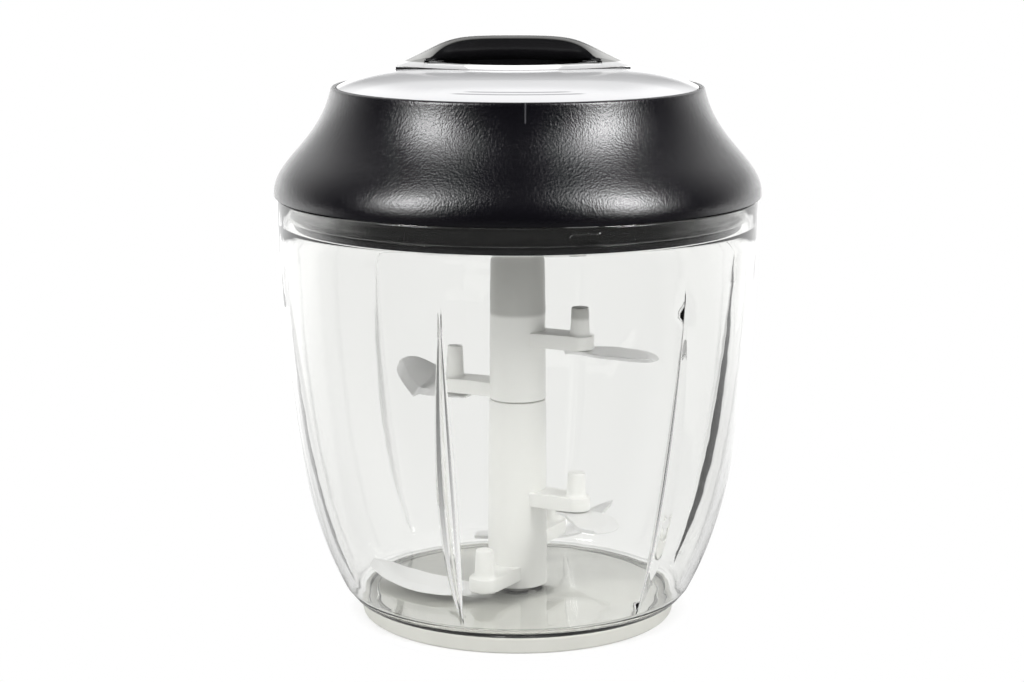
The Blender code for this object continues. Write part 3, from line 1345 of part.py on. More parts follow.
def main():
    clear_scene()
    clear = material("clear_plastic", (0.86, 0.87, 0.86), 0.08, alpha=0.3)
    rubber = material("pad_silicone", (0.80, 0.80, 0.74), 0.55)
    white = material("white_plastic", (0.82, 0.82, 0.80), 0.35)
    black = material("black_plastic", (0.012, 0.012, 0.013), 0.38)
    light_grey = material("light_grey_plastic", (0.56, 0.56, 0.56), 0.18)
    grey = material("grey_plastic", (0.28, 0.28, 0.28), 0.28)
    silicone = material("seal_silicone", (0.80, 0.80, 0.78), 0.3, alpha=0.4)
    spigot_grey = material("spigot_plastic", (0.28, 0.28, 0.28), 0.45)
    steel = material("steel", (0.62, 0.62, 0.63), 0.28, metallic=1.0)
    bronze = material("bronze", (0.52, 0.36, 0.18), 0.35, metallic=1.0)
    cord = material("nylon_cord", (0.80, 0.80, 0.78), 0.7)

    bowl_body = pivot("bowl_body")
    blade_body = pivot("blade_axis", parent=bowl_body)
    lid_body = pivot("lid_lift", (0, 0, LID_Z), bowl_body)
    drive_body = pivot("drive_axis", (0, 0, CUP_Z), lid_body)
    spool_body = pivot("spool_axis", (0, 0, SPOOL_Z), lid_body)
    pulley_body = pivot("pulley_pivot", PULLEY_CENTRE, lid_body)
    handle_body = pivot("handle_pull", (HANDLE_OFFSET, 0, HANDLE_Z), lid_body)

    make_bowl(bowl_body, clear)
    make_base_pad(bowl_body, rubber)
    make_pivot_pin(bowl_body, steel)

    make_lower_shaft(blade_body, white)
    make_upper_shaft(blade_body, white)
    for blade in BLADES:
        make_blade(blade_body, steel, blade)

    make_lid_shell(lid_body, black)
    make_lid_base(lid_body, black)
    make_sealing_ring(lid_body, silicone)
    make_top_cap(lid_body, light_grey)
    make_handle_dock(lid_body, black)
    make_cord_eyelet(lid_body, steel)
    make_drive_bush(lid_body, bronze)
    make_spring_case(lid_body, spigot_grey)
    make_recoil_spring(lid_body, steel)
    make_spool_axle(lid_body, steel)
    make_pulley_axle(lid_body, steel)
    make_pull_cord(lid_body, cord)
    for number, angle in enumerate(LID_SCREW_ANGLES, 1):
        spot = polar(LID_SCREW_CIRCLE, angle, PLATE_BOTTOM_Z - SEAT)
        screw(f"lid_screw_{number}", LID_SCREW, steel, lid_body, spot, True)
    for number, angle in enumerate(EAR_ANGLES, 1):
        spot = polar(EAR_CIRCLE, angle, CASE_ROOF_Z + SEAT)
        screw(f"case_screw_{number}", CASE_SCREW, steel, lid_body, spot, False)
    screw("axle_screw", AXLE_SCREW, steel, lid_body, (0, 0, SPOOL_Z - SEAT), True)

    make_drive_spigot(drive_body, spigot_grey)
    make_ratchet_cup(drive_body, white)
    screw("spigot_screw", SPIGOT_SCREW, steel, drive_body, (0, 0, PAWL_Z), False)

    make_cord_spool(spool_body, white)
    make_cord_coil(spool_body, cord)
    for name, angle in zip(PAWL_NAMES, pawl_angles()):
        pawl_body = pivot(f"{name}_pivot", polar(PAWL_PIVOT_CIRCLE, angle, PAWL_Z), spool_body)
        make_pawl(name, pawl_body, angle, white)
    make_guide_pulley(pulley_body, white)

    make_handle_cover(handle_body, grey)
    make_handle_grip(handle_body, black)
    make_handle_plate(handle_body, black)
    make_cord_knot(handle_body, cord)
    seat_z = HANDLE_PLATE_Z + SEAT + HANDLE_SCREW.head_height
    spot = (HANDLE_OFFSET + HANDLE_SCREW_X, 0, seat_z)
    screw("handle_screw", HANDLE_SCREW, steel, handle_body, spot, True)


main()
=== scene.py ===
import math

import bmesh
import bpy
from mathutils import Matrix, Vector


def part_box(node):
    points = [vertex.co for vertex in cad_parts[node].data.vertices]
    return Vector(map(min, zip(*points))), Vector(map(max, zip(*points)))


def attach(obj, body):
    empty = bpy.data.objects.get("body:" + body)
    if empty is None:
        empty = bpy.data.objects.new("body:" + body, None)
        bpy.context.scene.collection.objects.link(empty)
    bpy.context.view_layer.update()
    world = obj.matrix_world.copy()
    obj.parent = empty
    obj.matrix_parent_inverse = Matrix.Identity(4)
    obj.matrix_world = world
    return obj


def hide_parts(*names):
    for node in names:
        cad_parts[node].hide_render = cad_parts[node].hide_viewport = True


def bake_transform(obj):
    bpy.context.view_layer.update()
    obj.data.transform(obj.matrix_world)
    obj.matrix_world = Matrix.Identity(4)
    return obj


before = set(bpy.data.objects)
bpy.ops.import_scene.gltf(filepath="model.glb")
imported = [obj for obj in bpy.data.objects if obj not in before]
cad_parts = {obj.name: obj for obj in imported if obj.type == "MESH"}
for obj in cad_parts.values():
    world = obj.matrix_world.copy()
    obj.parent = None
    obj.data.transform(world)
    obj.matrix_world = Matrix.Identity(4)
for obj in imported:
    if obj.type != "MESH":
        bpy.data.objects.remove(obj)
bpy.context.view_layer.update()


# Camera
# The photo was taken from the front and a little above, with a long lens.
# The place and lens come from the ellipses of the rim, the collar, the floor and the base.
def placed(name, data):
    """Put a camera, a lamp or a mesh into the scene."""
    made = bpy.data.objects.new(name, data)
    bpy.context.scene.collection.objects.link(made)
    return made


looks_down = 11.19
camera = placed("camera", bpy.data.cameras.new("camera"))
camera.location = (-0.0016, -0.6433, 0.2049)
camera.rotation_euler = (math.radians(90 - looks_down), 0, 0)
camera.data.lens = 81.46
camera.data.sensor_width = 36
camera.data.clip_start = 0.01
bpy.context.scene.camera = camera
bpy.context.scene.view_settings.view_transform = "Standard"


# Light
# A white sweep behind the chopper, with a narrow grey flag in its middle, and a dark room in
# front, with two tall bright panels at the sides that draw the two broad highlights on the lid.
class Value:
    """A shader socket that takes part in sums, so that a finish reads as plain maths."""

    def __init__(self, finish, socket):
        self.finish = finish
        self.socket = socket

    def __add__(self, other):
        return self.finish.maths("ADD", self, other)

    def __sub__(self, other):
        return self.finish.maths("SUBTRACT", self, other)

    def __rsub__(self, other):
        return self.finish.maths("SUBTRACT", other, self)

    def __mul__(self, other):
        return self.finish.maths("MULTIPLY", self, other)

    def __abs__(self):
        return self.finish.maths("ABSOLUTE", self)

    __radd__ = __add__
    __rmul__ = __mul__


class Finish:
    """The nodes of one material, or of the world."""

    def __init__(self, owner):
        owner.use_nodes = True
        self.owner = owner
        self.nodes = owner.node_tree.nodes
        self.links = owner.node_tree.links

    def node(self, kind, settings=None, sockets=None, output=0):
        made = self.nodes.new(kind)
        for name, value in (settings or {}).items():
            setattr(made, name, value)
        self.fill(made, sockets or {})
        return Value(self, made.outputs[output])

    def fill(self, node, sockets):
        for key, value in sockets.items():
            if isinstance(value, Value):
                self.links.new(value.socket, node.inputs[key])
            elif isinstance(value, tuple) and len(value) == 3 and node.inputs[key].type == "RGBA":
                node.inputs[key].default_value = (*value, 1.0)
            else:
                node.inputs[key].default_value = value

    def surface(self, sockets):
        """Set the sockets of the material's own shader."""
        self.fill(self.nodes["Principled BSDF"], sockets)

    def mix_in(self, share, other):
        """Mix a second shader over the material's own one."""
        own = Value(self, self.nodes["Principled BSDF"].outputs[0])
        both = self.node("ShaderNodeMixShader", {}, {0: share, 1: own, 2: other})
        self.fill(self.nodes["Material Output"], {"Surface": both})

    def maths(self, operation, *terms):
        return self.node("ShaderNodeMath", {"operation": operation}, dict(enumerate(terms)))

    def within(self, value, low, high):
        """0 below low, 1 above high, and a smooth rise between them."""
        settings = {"interpolation_type": "SMOOTHSTEP"}
        return self.node("ShaderNodeMapRange", settings, {"Value": value, "From Min": low, "From Max": high})

    def mix(self, share, first, second):
        settings = {"data_type": "RGBA"}
        return self.node("ShaderNodeMix", settings, {0: share, 6: first, 7: second}, output=2)

    def axes(self, place):
        """The parts of a place or direction along X, Y and Z."""
        first = self.node("ShaderNodeSeparateXYZ", {}, {0: place})
        return [Value(self, part) for part in first.socket.node.outputs]


def kinds_of_ray(finish):
    """Three masks: rays of the camera, rays that came through clear plastic, and mirrored ones."""
    straight, bounces, clear_ray, glossy_ray = [
        finish.node("ShaderNodeLightPath", output=name)
        for name in ("Is Camera Ray", "Diffuse Depth", "Is Transmission Ray", "Is Glossy Ray")
    ]
    unscattered = 1 - finish.maths("GREATER_THAN", bounces, 0.5)
    through = clear_ray * unscattered
    mirrored = glossy_ray * unscattered * (1 - through)
    return straight, through, mirrored


def seen_through(beside, behind):
    """How white the studio looks through the bowl: dark in front, half white beside it."""
    return 0.06 + 0.44 * beside + 0.5 * behind


world = Finish(bpy.data.worlds.new("studio"))
bpy.context.scene.world = world.owner
side, back, up = world.axes(world.node("ShaderNodeTexCoord"))
straight, through, mirrored = kinds_of_ray(world)
flag = (1 - world.within(abs(side), 0.14, 0.24)) * world.within(up, 0.10, 0.20)
flag = flag * (1 - world.within(up, 0.52, 0.64))
sweep = world.within(back, 0.05, 0.95) * (1.8 - 0.8 * world.within(up, 0.05, 0.20)) * (1 - 0.95 * flag)
off_panel = abs(abs(side) * 0.53 + back * 0.848)
panel = (1 - world.within(off_panel, 0.08, 0.26)) * world.within(up, 0.10, 0.40)
panel = panel * (1 - world.within(up, 0.80, 0.93)) * (5.2 + 3.4 * world.within(side, -0.1, 0.1))
beside = world.within(back, -0.4, 0.0)
behind = world.within(back - world.maths("MAXIMUM", side, side * -0.3) * 0.6, 0.2, 0.6)
seen = mirrored * (0.005 + 0.995 * sweep + panel) + through * seen_through(beside, behind)
level = straight + (1 - straight) * (seen + (1 - mirrored) * (1 - through))
world.fill(world.nodes["Background"], {"Color": (1.0, 1.0, 1.0), "Strength": level})

lamp_target = Vector((0, 0, 0.12))


def soft_box(name, azimuth, elevation, distance, size, power):
    """A rectangular lamp that looks at the middle of the lid, with its azimuth from the front."""
    lamp = bpy.data.lights.new(name, "AREA")
    lamp.shape = "RECTANGLE"
    lamp.size, lamp.size_y = size
    lamp.energy = power
    box = placed(name, lamp)
    turn = math.radians(azimuth)
    lift = math.radians(elevation)
    away = Vector((math.sin(turn) * math.cos(lift), -math.cos(turn) * math.cos(lift), math.sin(lift)))
    box.location = lamp_target + away * distance
    box.rotation_euler = away.to_track_quat("Z", "Y").to_euler()


soft_box("soft_box_left", -58, 37, 0.9, (0.20, 0.28), 2.3)
soft_box("soft_box_right", 58, 37, 0.9, (0.20, 0.28), 2.6)
soft_box("rear_light", 180, 50, 1.0, (1.6, 1.0), 2.4)


# Table
# A wide white sheet. The photo shows no shadow on it, only a thin dark line under the pad.
# The camera sees it white. The bowl and the lid see it dark in front and white behind.
pad_edge, shadow_edge = 0.0442, 0.0500
mesh = bmesh.new()
bmesh.ops.create_circle(mesh, cap_ends=True, segments=96, radius=4.0)
data = bpy.data.meshes.new("table")
mesh.to_mesh(data)
mesh.free()
table = placed("table", data)
paper = Finish(bpy.data.materials.new("white_paper"))
data.materials.append(paper.owner)
fibre = paper.node("ShaderNodeTexNoise", {}, {"Scale": 40.0, "Detail": 4.0})
paper.surface({
    "Base Color": paper.mix(fibre, (0.90, 0.90, 0.90), (0.93, 0.93, 0.93)),
    "Roughness": 0.8,
    "Specular IOR Level": 0.1,
})
straight, through, mirrored = kinds_of_ray(paper)
spot = paper.node("ShaderNodeTexCoord", output=3)
away = paper.node("ShaderNodeVectorMath", {"operation": "LENGTH"}, {0: spot}, output=1)
side, back = paper.axes(spot)[:2]
beside = paper.within(back, -0.15, -0.02)
behind = paper.within(back - paper.maths("MAXIMUM", side, side * -0.3) * 1.2, -0.20, -0.08)
bright = straight + through * seen_through(beside, behind)
bright = bright + mirrored * paper.within(back, -0.05, 0.25) * 1.7
glow = paper.node("ShaderNodeEmission", {}, {"Color": bright, "Strength": 1.0})
share = (straight + (through + mirrored) * 0.92) * (0.5 + 0.5 * paper.within(away, pad_edge, shadow_edge))
paper.mix_in(share, glow)


# Base pad
# A soft ring of pale silicone under the bowl, which keeps it from sliding. It is moulded
# in one piece, with a groove that the foot of the bowl is pressed into.
def ring_at(mesh, radius, height, angles):
    """Corners on a level circle, or the one corner on the axis."""
    if radius == 0:
        return [mesh.verts.new((0, 0, height))]
    return [mesh.verts.new((radius * math.cos(angle), radius * math.sin(angle), height)) for angle in angles]


def join_rings(mesh, first, second):
    """Faces between two rings, or from a ring to a single corner."""
    count = max(len(first), len(second))
    for k in range(count):
        n = (k + 1) % count
        corners = [first[k % len(first)], first[n % len(first)]]
        corners += [second[n % len(second)], second[k % len(second)]]
        mesh.faces.new(list(dict.fromkeys(corners)))


def skin(mesh, rings):
    """Faces from each ring to the next."""
    for first, second in zip(rings, rings[1:]):
        if len(first) > 1 or len(second) > 1:
            join_rings(mesh, first, second)


def turned(profile, steps=160):
    """A surface turned about Z from a closed outline of (radius, height) points."""
    mesh = bmesh.new()
    angles = [2 * math.pi * k / steps for k in range(steps)]
    skin(mesh, [ring_at(mesh, radius, height, angles) for radius, height in profile + profile[:1]])
    bmesh.ops.remove_doubles(mesh, verts=mesh.verts, dist=1e-7)
    return mesh


sharp_angle = math.radians(38)


def piece(name, mesh, finish, body, stands_for=(), edge=0.0):
    """Finish one piece: smooth faces, softened edges, its material, and what it moves with."""
    bmesh.ops.recalc_face_normals(mesh, faces=mesh.faces)
    data = bpy.data.meshes.new(name)
    mesh.to_mesh(data)
    mesh.free()
    data.shade_smooth()
    data.set_sharp_from_angle(angle=sharp_angle)
    data.materials.append(finish.owner)
    made = placed(name, data)
    if edge:
        bevel = made.modifiers.new("edge", "BEVEL")
        bevel.width = edge
        bevel.segments = 3
        bevel.limit_method = "ANGLE"
        bevel.angle_limit = sharp_angle
        bevel.harden_normals = True
    if body:
        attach(made, body)
    if stands_for:
        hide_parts(*stands_for)
    return made


def new_finish(name):
    """A new material, and the place on the piece in metres."""
    finish = Finish(bpy.data.materials.new(name))
    return finish, finish.node("ShaderNodeTexCoord", output=3)


def noise(finish, place, scale, detail):
    """Cloudy noise, with about this many clouds in a metre."""
    return finish.node("ShaderNodeTexNoise", {}, {"Vector": place, "Scale": scale, "Detail": detail})


def bump(finish, height, strength, distance):
    return finish.node("ShaderNodeBump", {}, {"Strength": strength, "Distance": distance, "Height": height})


def from_axis(finish, place):
    """How far a place lies from the upright axis of the chopper."""
    flat = finish.node("ShaderNodeVectorMath", {"operation": "MULTIPLY"}, {0: place, 1: (1.0, 1.0, 0.0)})
    return finish.node("ShaderNodeVectorMath", {"operation": "LENGTH"}, {0: flat}, output=1)


silicone, spot = new_finish("pale_silicone")
bloom = noise(silicone, spot, 90.0, 3.0)
grain = noise(silicone, spot, 2600.0, 2.0)
across = silicone.axes(spot)[0]
pale = silicone.mix(bloom, (0.55, 0.55, 0.51), (0.62, 0.62, 0.58))
# The middle of the pad, under the bowl's floor, is painted darker on its left and lighter on its right:
# painted shade and light as seen through the floor.
under_floor_painted_shade = silicone.mix(silicone.within(across, -0.03, 0.03), (0.60, 0.60, 0.57), (0.70, 0.70, 0.68))
silicone.surface({
    "Base Color": silicone.mix(silicone.within(from_axis(silicone, spot), 0.0402, 0.0405), under_floor_painted_shade, pale),
    "Roughness": 0.45 + 0.15 * bloom,
    "Normal": bump(silicone, grain, 0.3, 0.00003),
})
pad_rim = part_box("base_pad")[1]
pad_groove = 0.0020
pad_outline = [
    (0, 0.0),
    (0.0439, 0.0),
    (0.0444, 0.0004),
    (0.0449, 0.0030),
    (pad_rim.x, 0.0042),
    (0.0447, pad_rim.z),
    (0.0433, pad_rim.z),
    (0.0433, pad_groove),
    (0.0403, pad_groove),
    (0.0403, pad_rim.z),
    (0, pad_rim.z),
]
piece("base_pad_moulded", turned(pad_outline), silicone, "bowl_body", ["base_pad"], 0.0002)


# Bowl
# One clear moulding with a collar, a foot ring and a boss for the pin. Six ribs swell out
# of the inside of its wall and taper away at both ends, so that food is thrown back.
def bezier(first, near, far, last, count):
    """Points along a smooth curve that leaves towards near and arrives from far."""
    points = []
    for k in range(count):
        t = k / (count - 1)
        weights = ((1 - t) ** 3, 3 * (1 - t) ** 2 * t, 3 * (1 - t) * t ** 2, t ** 3)
        controls = (first, near, far, last)
        points.append(tuple(sum(w * c[i] for w, c in zip(weights, controls)) for i in (0, 1)))
    return points


def ease(value):
    """0 to 1 with a soft start and end."""
    value = min(max(value, 0.0), 1.0)
    return value * value * (3 - 2 * value)


def offset_curve(points, distance):
    """The curve moved to its left by a distance."""
    result = []
    for k, (x, y) in enumerate(points):
        before = points[max(k - 1, 0)]
        after = points[min(k + 1, len(points) - 1)]
        dx, dy = after[0] - before[0], after[1] - before[1]
        length = math.hypot(dx, dy)
        result.append((x - distance * dy / length, y + distance * dx / length))
    return result


def rounded(corner, before, after, radius, count=4):
    """Points that round off one corner of an outline."""
    corner, before, after = Vector(corner), Vector(before), Vector(after)
    first = corner + (before - corner).normalized() * radius
    last = corner + (after - corner).normalized() * radius
    points = []
    for k in range(count + 1):
        t = k / count
        points.append(tuple(first * (1 - t) ** 2 + corner * 2 * t * (1 - t) + last * t * t))
    return points


def polar(radius, degrees, height=0.0):
    """A place at a distance and a direction from the axis."""
    angle = math.radians(degrees)
    return Vector((radius * math.cos(angle), radius * math.sin(angle), height))


wall = 0.0022
underside = 0.0049
floor_top = 0.0068
rim = 0.1196
rim_radius = 0.06714
heel = (0.04947, 0.0085)
inside_low, inside_high = 0.0112, 0.1052
belly = bezier(heel, (0.06032, 0.02915), (0.0670, 0.06282), (rim_radius, rim), 44)
inside = [point for point in offset_curve(belly, wall) if inside_low < point[1] < inside_high]
collar = 0.06534
ledge = 0.1125
shell = rounded((0.0465, underside), (0.0440, underside), heel, 0.0011)
shell += belly[:-1]
shell += rounded((rim_radius, rim), (rim_radius, 0.11), (collar, rim), 0.0005)
shell += rounded((collar, rim), (rim_radius, rim), (collar, ledge), 0.0004)
shell += rounded((collar, ledge), (collar, rim), (0.0649, ledge - 0.0005), 0.0003)
shell += [(0.06494, ledge - 0.0009), (0.06492, ledge - 0.004)]
smooth_rows = len(shell)
shell += list(reversed(inside))
ribbed_rows = len(shell)
shell += rounded((0.0470, 0.0074), inside[0], (0.0430, floor_top), 0.0024, 6)
shell += [(0.0437, floor_top + 0.0001), (0.0420, floor_top)]
rib_count, first_rib = 6, -108
rib_bottom, rib_top = 0.0095, 0.1000
rib_width, rib_depth = 0.0055, 0.0030
rib_line = 0.0012
rib_fullness, rib_roundness = 0.765, 1.2
rib_columns = 21
plain_columns = 14


def bowl_ring(mesh, radius, height, ribbed):
    """One ring round the bowl's wall; a rib is a rounded ridge that swells and tapers."""
    share = (height - rib_bottom) / (rib_top - rib_bottom)
    swell = math.sin(math.pi * share ** rib_fullness) if ribbed and 0 < share < 1 else 0.0
    half = math.degrees(max(rib_width * swell, rib_line) / 2 / radius)
    pitch = 360 / rib_count
    ring = []
    for rib in range(rib_count):
        middle = first_rib + pitch * rib
        for k in range(rib_columns):
            across = 2 * k / (rib_columns - 1) - 1
            round_over = math.cos(math.pi / 2 * across) ** rib_roundness if abs(across) < 1 else 0.0
            depth = rib_depth * swell * round_over
            ring.append(mesh.verts.new(polar(radius - depth, middle + half * across, height)))
        for k in range(1, plain_columns + 1):
            turn = middle + half + (pitch - 2 * half) * k / (plain_columns + 1)
            ring.append(mesh.verts.new(polar(radius, turn, height)))
    return ring


def let_light_through(finish, tint):
    """Keep the shadow of a clear piece pale: the light goes straight through it."""
    shadow = finish.node("ShaderNodeLightPath", output="Is Shadow Ray")
    finish.mix_in(shadow, finish.node("ShaderNodeBsdfTransparent", {}, {"Color": tint}))


clear, spot = new_finish("clear_plastic")
flow = noise(clear, spot, 55.0, 2.0)
clear.surface({
    "Base Color": clear.mix(flow, (0.960, 0.963, 0.950), (0.970, 0.972, 0.962)),
    "Roughness": 0.012 + 0.02 * flow,
    "IOR": 1.47,
    "Transmission Weight": 1.0,
    "Normal": bump(clear, flow, 0.15, 0.0004),
})
let_light_through(clear, (0.93, 0.93, 0.92))

oval_angle = -75.3
oval_height = 0.1168
oval_half_length, oval_half_width = 0.0031, 0.0010
oval_rise, oval_slope = 0.00055, 0.0003
oval_zone = 0.0040
collar_outside = 0.0671
collar_zone = 0.0665


def refine(mesh, cuts, chosen):
    """Cut the faces whose middles are chosen into a finer grid, for a small raised or sunk form."""
    edges = {edge for face in mesh.faces if chosen(face.calc_center_median()) for edge in face.edges}
    bmesh.ops.subdivide_edges(mesh, edges=list(edges), cuts=cuts, use_grid_fill=True)


def oval_distance(point):
    """How far a point of the collar lies from the middle line of the small oval boss on it."""
    along = math.radians(math.degrees(math.atan2(point.y, point.x)) - oval_angle) * collar_outside
    return math.hypot(max(abs(along) - oval_half_length, 0.0), point.z - oval_height)


def close_to(mesh, ring, outline):
    """Carry a surface on from a ring through turned points to the axis."""
    angles = [math.atan2(vert.co.y, vert.co.x) for vert in ring]
    skin(mesh, [ring] + [ring_at(mesh, radius, height, angles) for radius, height in outline])


mesh = bmesh.new()
rings = []
for row, (radius, height) in enumerate(shell):
    rings.append(bowl_ring(mesh, radius, height, smooth_rows <= row < ribbed_rows))
skin(mesh, rings)
boss = [(0.0052, floor_top), (0.0046, floor_top + 0.0002), (0.0045, 0.0087), (0.0042, 0.0090)]
boss += [(0.0024, 0.0090), (0.0023, 0.0088), (0.0023, 0.0059), (0, 0.0059)]
close_to(mesh, rings[-1], [(0.030, floor_top), (0.015, floor_top)] + boss)
foot = [(0.0432, underside), (0.0430, 0.0045), (0.0430, 0.0026), (0.0427, 0.0023)]
foot += [(0.0409, 0.0023), (0.0406, 0.0026), (0.0406, 0.0046), (0.0403, underside), (0, underside)]
close_to(mesh, rings[0], foot)
refine(mesh, 12, lambda middle: middle.xy.length > collar_zone and oval_distance(middle) < oval_zone)
for vert in mesh.verts:
    if vert.co.xy.length > collar_zone:
        lift = oval_rise * (1 - ease((oval_distance(vert.co) - oval_half_width) / oval_slope))
        vert.co.xy *= 1 + lift / vert.co.xy.length
piece("bowl_moulded", mesh, clear, "bowl_body", ["bowl"])


# Steel fittings
# The pivot pin, screws, axles, spring and eyelet are turned or drawn from stainless steel
# and only brushed, so the frame's own pieces keep their shape and take this finish.
def brushing(finish, place, scale, detail):
    """Noise drawn out into fine lines by its three scales."""
    stretched = finish.node("ShaderNodeMapping", {}, {"Vector": place, "Scale": scale})
    return noise(finish, stretched, 1.0, detail)


def dress(finish, *names):
    """Give the frame's own pieces a finish."""
    for name in names:
        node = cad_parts[name]
        if node.material_slots:
            for holder in node.material_slots:
                holder.material = finish.owner
        else:
            node.data.materials.append(finish.owner)


steel, spot = new_finish("turned_steel")
lines = brushing(steel, spot, (300.0, 300.0, 6000.0), 3.0)
steel.surface({
    "Base Color": steel.mix(lines, (0.55, 0.55, 0.56), (0.68, 0.68, 0.69)),
    "Metallic": 1.0,
    "Roughness": 0.18 + 0.16 * lines,
    "Normal": bump(steel, lines, 0.2, 0.00002),
})
dress(steel, "pivot_pin", "spool_axle", "pulley_axle", "axle_screw", "spigot_screw", "handle_screw")
dress(steel, "recoil_spring", "cord_eyelet", "case_screw_1", "case_screw_2", "case_screw_3")
dress(steel, "lid_screw_1", "lid_screw_2", "lid_screw_3", "lid_screw_4")


# Blade carrier
# Two white mouldings, the upper one plugged onto the lower. Each has flat arms with a round
# end, a peg on top and a blade underneath. The upper wall is painted grey down to the end of
# the spigot inside it: painted shade.
white, spot = new_finish("white_plastic")
cloud = noise(white, spot, 70.0, 3.0)
pores = noise(white, spot, 3200.0, 2.0)
white.surface({
    "Base Color": white.mix(cloud, (0.82, 0.82, 0.80), (0.86, 0.86, 0.84)),
    "Roughness": 0.32 + 0.12 * cloud,
    "Normal": bump(white, pores, 0.25, 0.00002),
})
spigot_end, spigot_blur = 0.0860, 0.0008
white_with_painted_shade, spot = new_finish("white_plastic_over_spigot")
cloud = noise(white_with_painted_shade, spot, 70.0, 3.0)
height = white_with_painted_shade.axes(spot)[2]
# The wall over the spigot is painted grey: painted shade, not a colour of the plastic.
painted_spigot_shade = white_with_painted_shade.within(height, spigot_end - spigot_blur, spigot_end + spigot_blur)
pale = white_with_painted_shade.mix(cloud, (0.83, 0.83, 0.81), (0.87, 0.87, 0.85))
white_with_painted_shade.surface({
    "Base Color": white_with_painted_shade.mix(painted_spigot_shade * 0.85, pale, (0.46, 0.46, 0.44)),
    "Roughness": 0.30 + 0.12 * cloud,
})

# Each arm has the direction it points in, its underside, and its peg's height and radius.
arms = {
    "upper_right": (-27.3, 0.0774, 0.0078, 0.0027),
    "upper_left": (155.0, 0.0620, 0.0090, 0.0022),
    "lower_right": (-32.0, 0.0315, 0.0068, 0.0027),
    "lower_rear": (58.0, 0.0172, 0.0048, 0.0027),
    "lower_left": (-118.5, 0.0099, 0.0078, 0.0027),
}
arm_reach = 0.0195
arm_end = 0.0040
arm_thickness = 0.0040
post_bottom, seam, post_top = 0.0074, 0.0613, 0.1136
socket_radius, socket_depth = 0.0052, 0.0275


def absorb(mesh, form):
    """Take a small closed form into a piece."""
    data = bpy.data.meshes.new("part")
    bmesh.ops.recalc_face_normals(form, faces=form.faces)
    form.to_mesh(data)
    form.free()
    mesh.from_mesh(data)
    bpy.data.meshes.remove(data)


def add_prism(mesh, outline, low, high, angle, soft):
    """Add a flat form with an outline in plan, its edges rounded over."""
    form = bmesh.new()
    rings = [[form.verts.new((x, y, height)) for x, y in outline] for height in (low, high)]
    join_rings(form, *rings)
    caps = [form.faces.new(ring) for ring in rings]
    edges = [edge for cap in caps for edge in cap.edges]
    bmesh.ops.bevel(form, geom=edges, offset=soft, segments=3, affect="EDGES", profile=0.5)
    turn = Matrix.Rotation(math.radians(angle), 3, "Z")
    bmesh.ops.rotate(form, verts=form.verts, cent=(0, 0, 0), matrix=turn)
    absorb(mesh, form)


def post_radius(height):
    """The post narrows by 0.9 mm over its whole length."""
    return 0.0085 - 0.0009 * (height - post_bottom) / 0.1062


def arm_outline():
    """The plan of an arm that points along X, with a round end."""
    points = [(0.0040, -0.0050), (arm_reach * 0.6, -0.0044)]
    for k in range(17):
        turn = math.pi * (k / 16 - 0.5)
        points.append((arm_reach + arm_end * math.cos(turn), arm_end * math.sin(turn)))
    return points + [(arm_reach * 0.6, 0.0044), (0.0040, 0.0050)]


def carrier(bottom, top, names, socket):
    """A tapered post with its arms and pegs."""
    low = (post_radius(bottom), bottom)
    high = (post_radius(top), top)
    profile = [(0, bottom)] + rounded(low, (0, bottom), high, 0.0004)
    profile += rounded(high, low, (0, top), 0.0005)
    if socket:
        socket_floor = top - socket_depth
        profile += [(socket_radius + 0.0002, top), (socket_radius, socket_floor), (0, socket_floor)]
    else:
        profile += [(0, top)]
    mesh = turned(profile, 72)
    for name in names:
        angle, base, peg, radius = arms[name]
        face = base + arm_thickness
        add_prism(mesh, arm_outline(), base, face, angle, 0.0004)
        tip = face + peg
        outline = [(0, base + 0.002), (radius + 0.0006, base + 0.002), (radius + 0.0006, face)]
        outline += [(radius + 0.0002, face + 0.0003), (radius, face + 0.0010)]
        outline += rounded((radius - 0.0003, tip), (radius, face + 0.0010), (0, tip), 0.0005)
        form = turned(outline + [(0, tip)], 40)
        bmesh.ops.translate(form, vec=polar(arm_reach, angle), verts=form.verts)
        absorb(mesh, form)
    return mesh


lower = carrier(post_bottom, seam, ("lower_right", "lower_rear", "lower_left"), False)
upper = carrier(seam + 0.0003, post_top, ("upper_right", "upper_left"), True)
piece("lower_carrier", lower, white, "blade_assembly", ["lower_shaft"])
piece("upper_carrier", upper, white_with_painted_shade, "blade_assembly", ["upper_shaft"])


# Blades
# Five swept blades cut from stainless sheet, each ground to an edge on its leading side,
# bent up or down at its root, and held by its arm. Fine brushing runs along the sheet.
sheet_steel, spot = new_finish("blade_steel")
brushed = brushing(sheet_steel, spot, (260.0, 2600.0, 2600.0), 4.0)
haze = noise(sheet_steel, spot, 60.0, 2.0)
sheet_steel.surface({
    "Base Color": sheet_steel.mix(haze, (0.80, 0.80, 0.80), (0.87, 0.87, 0.87)),
    "Metallic": 0.25,
    "Roughness": 0.30 + 0.10 * brushed + 0.06 * haze,
    "Normal": bump(sheet_steel, brushed, 0.15, 0.00002),
})

# Each blade has the radius and turn of its heel, knee and tip, its width, how full its tip is,
# its tilt in degrees, and how far its tip rises.
blades = {
    "upper_right": ((0.0146, 0), (0.0297, 17), (0.0430, -5), 0.0164, 3, -2, 0.0003),
    "upper_left": ((0.0146, 0), (0.0280, -2), (0.0402, -5), 0.0150, 3, 28, 0.0062),
    "lower_right": ((0.0146, 0), (0.0285, 2), (0.0394, -27), 0.0130, 9, 0, 0.0008),
    "lower_rear": ((0.0216, 66), (0.0175, -2), (0.0410, -12), 0.0120, 3, 0, 0.0065),
    "lower_left": ((0.0146, 0), (0.0297, -29), (0.0440, -75), 0.0142, 3, 0, 0.0010),
}
blade_sheet = 0.0010
root_width = 0.0078
point_width = 0.0009
ground_width = 0.0032
clear_of_arm = 0.0255


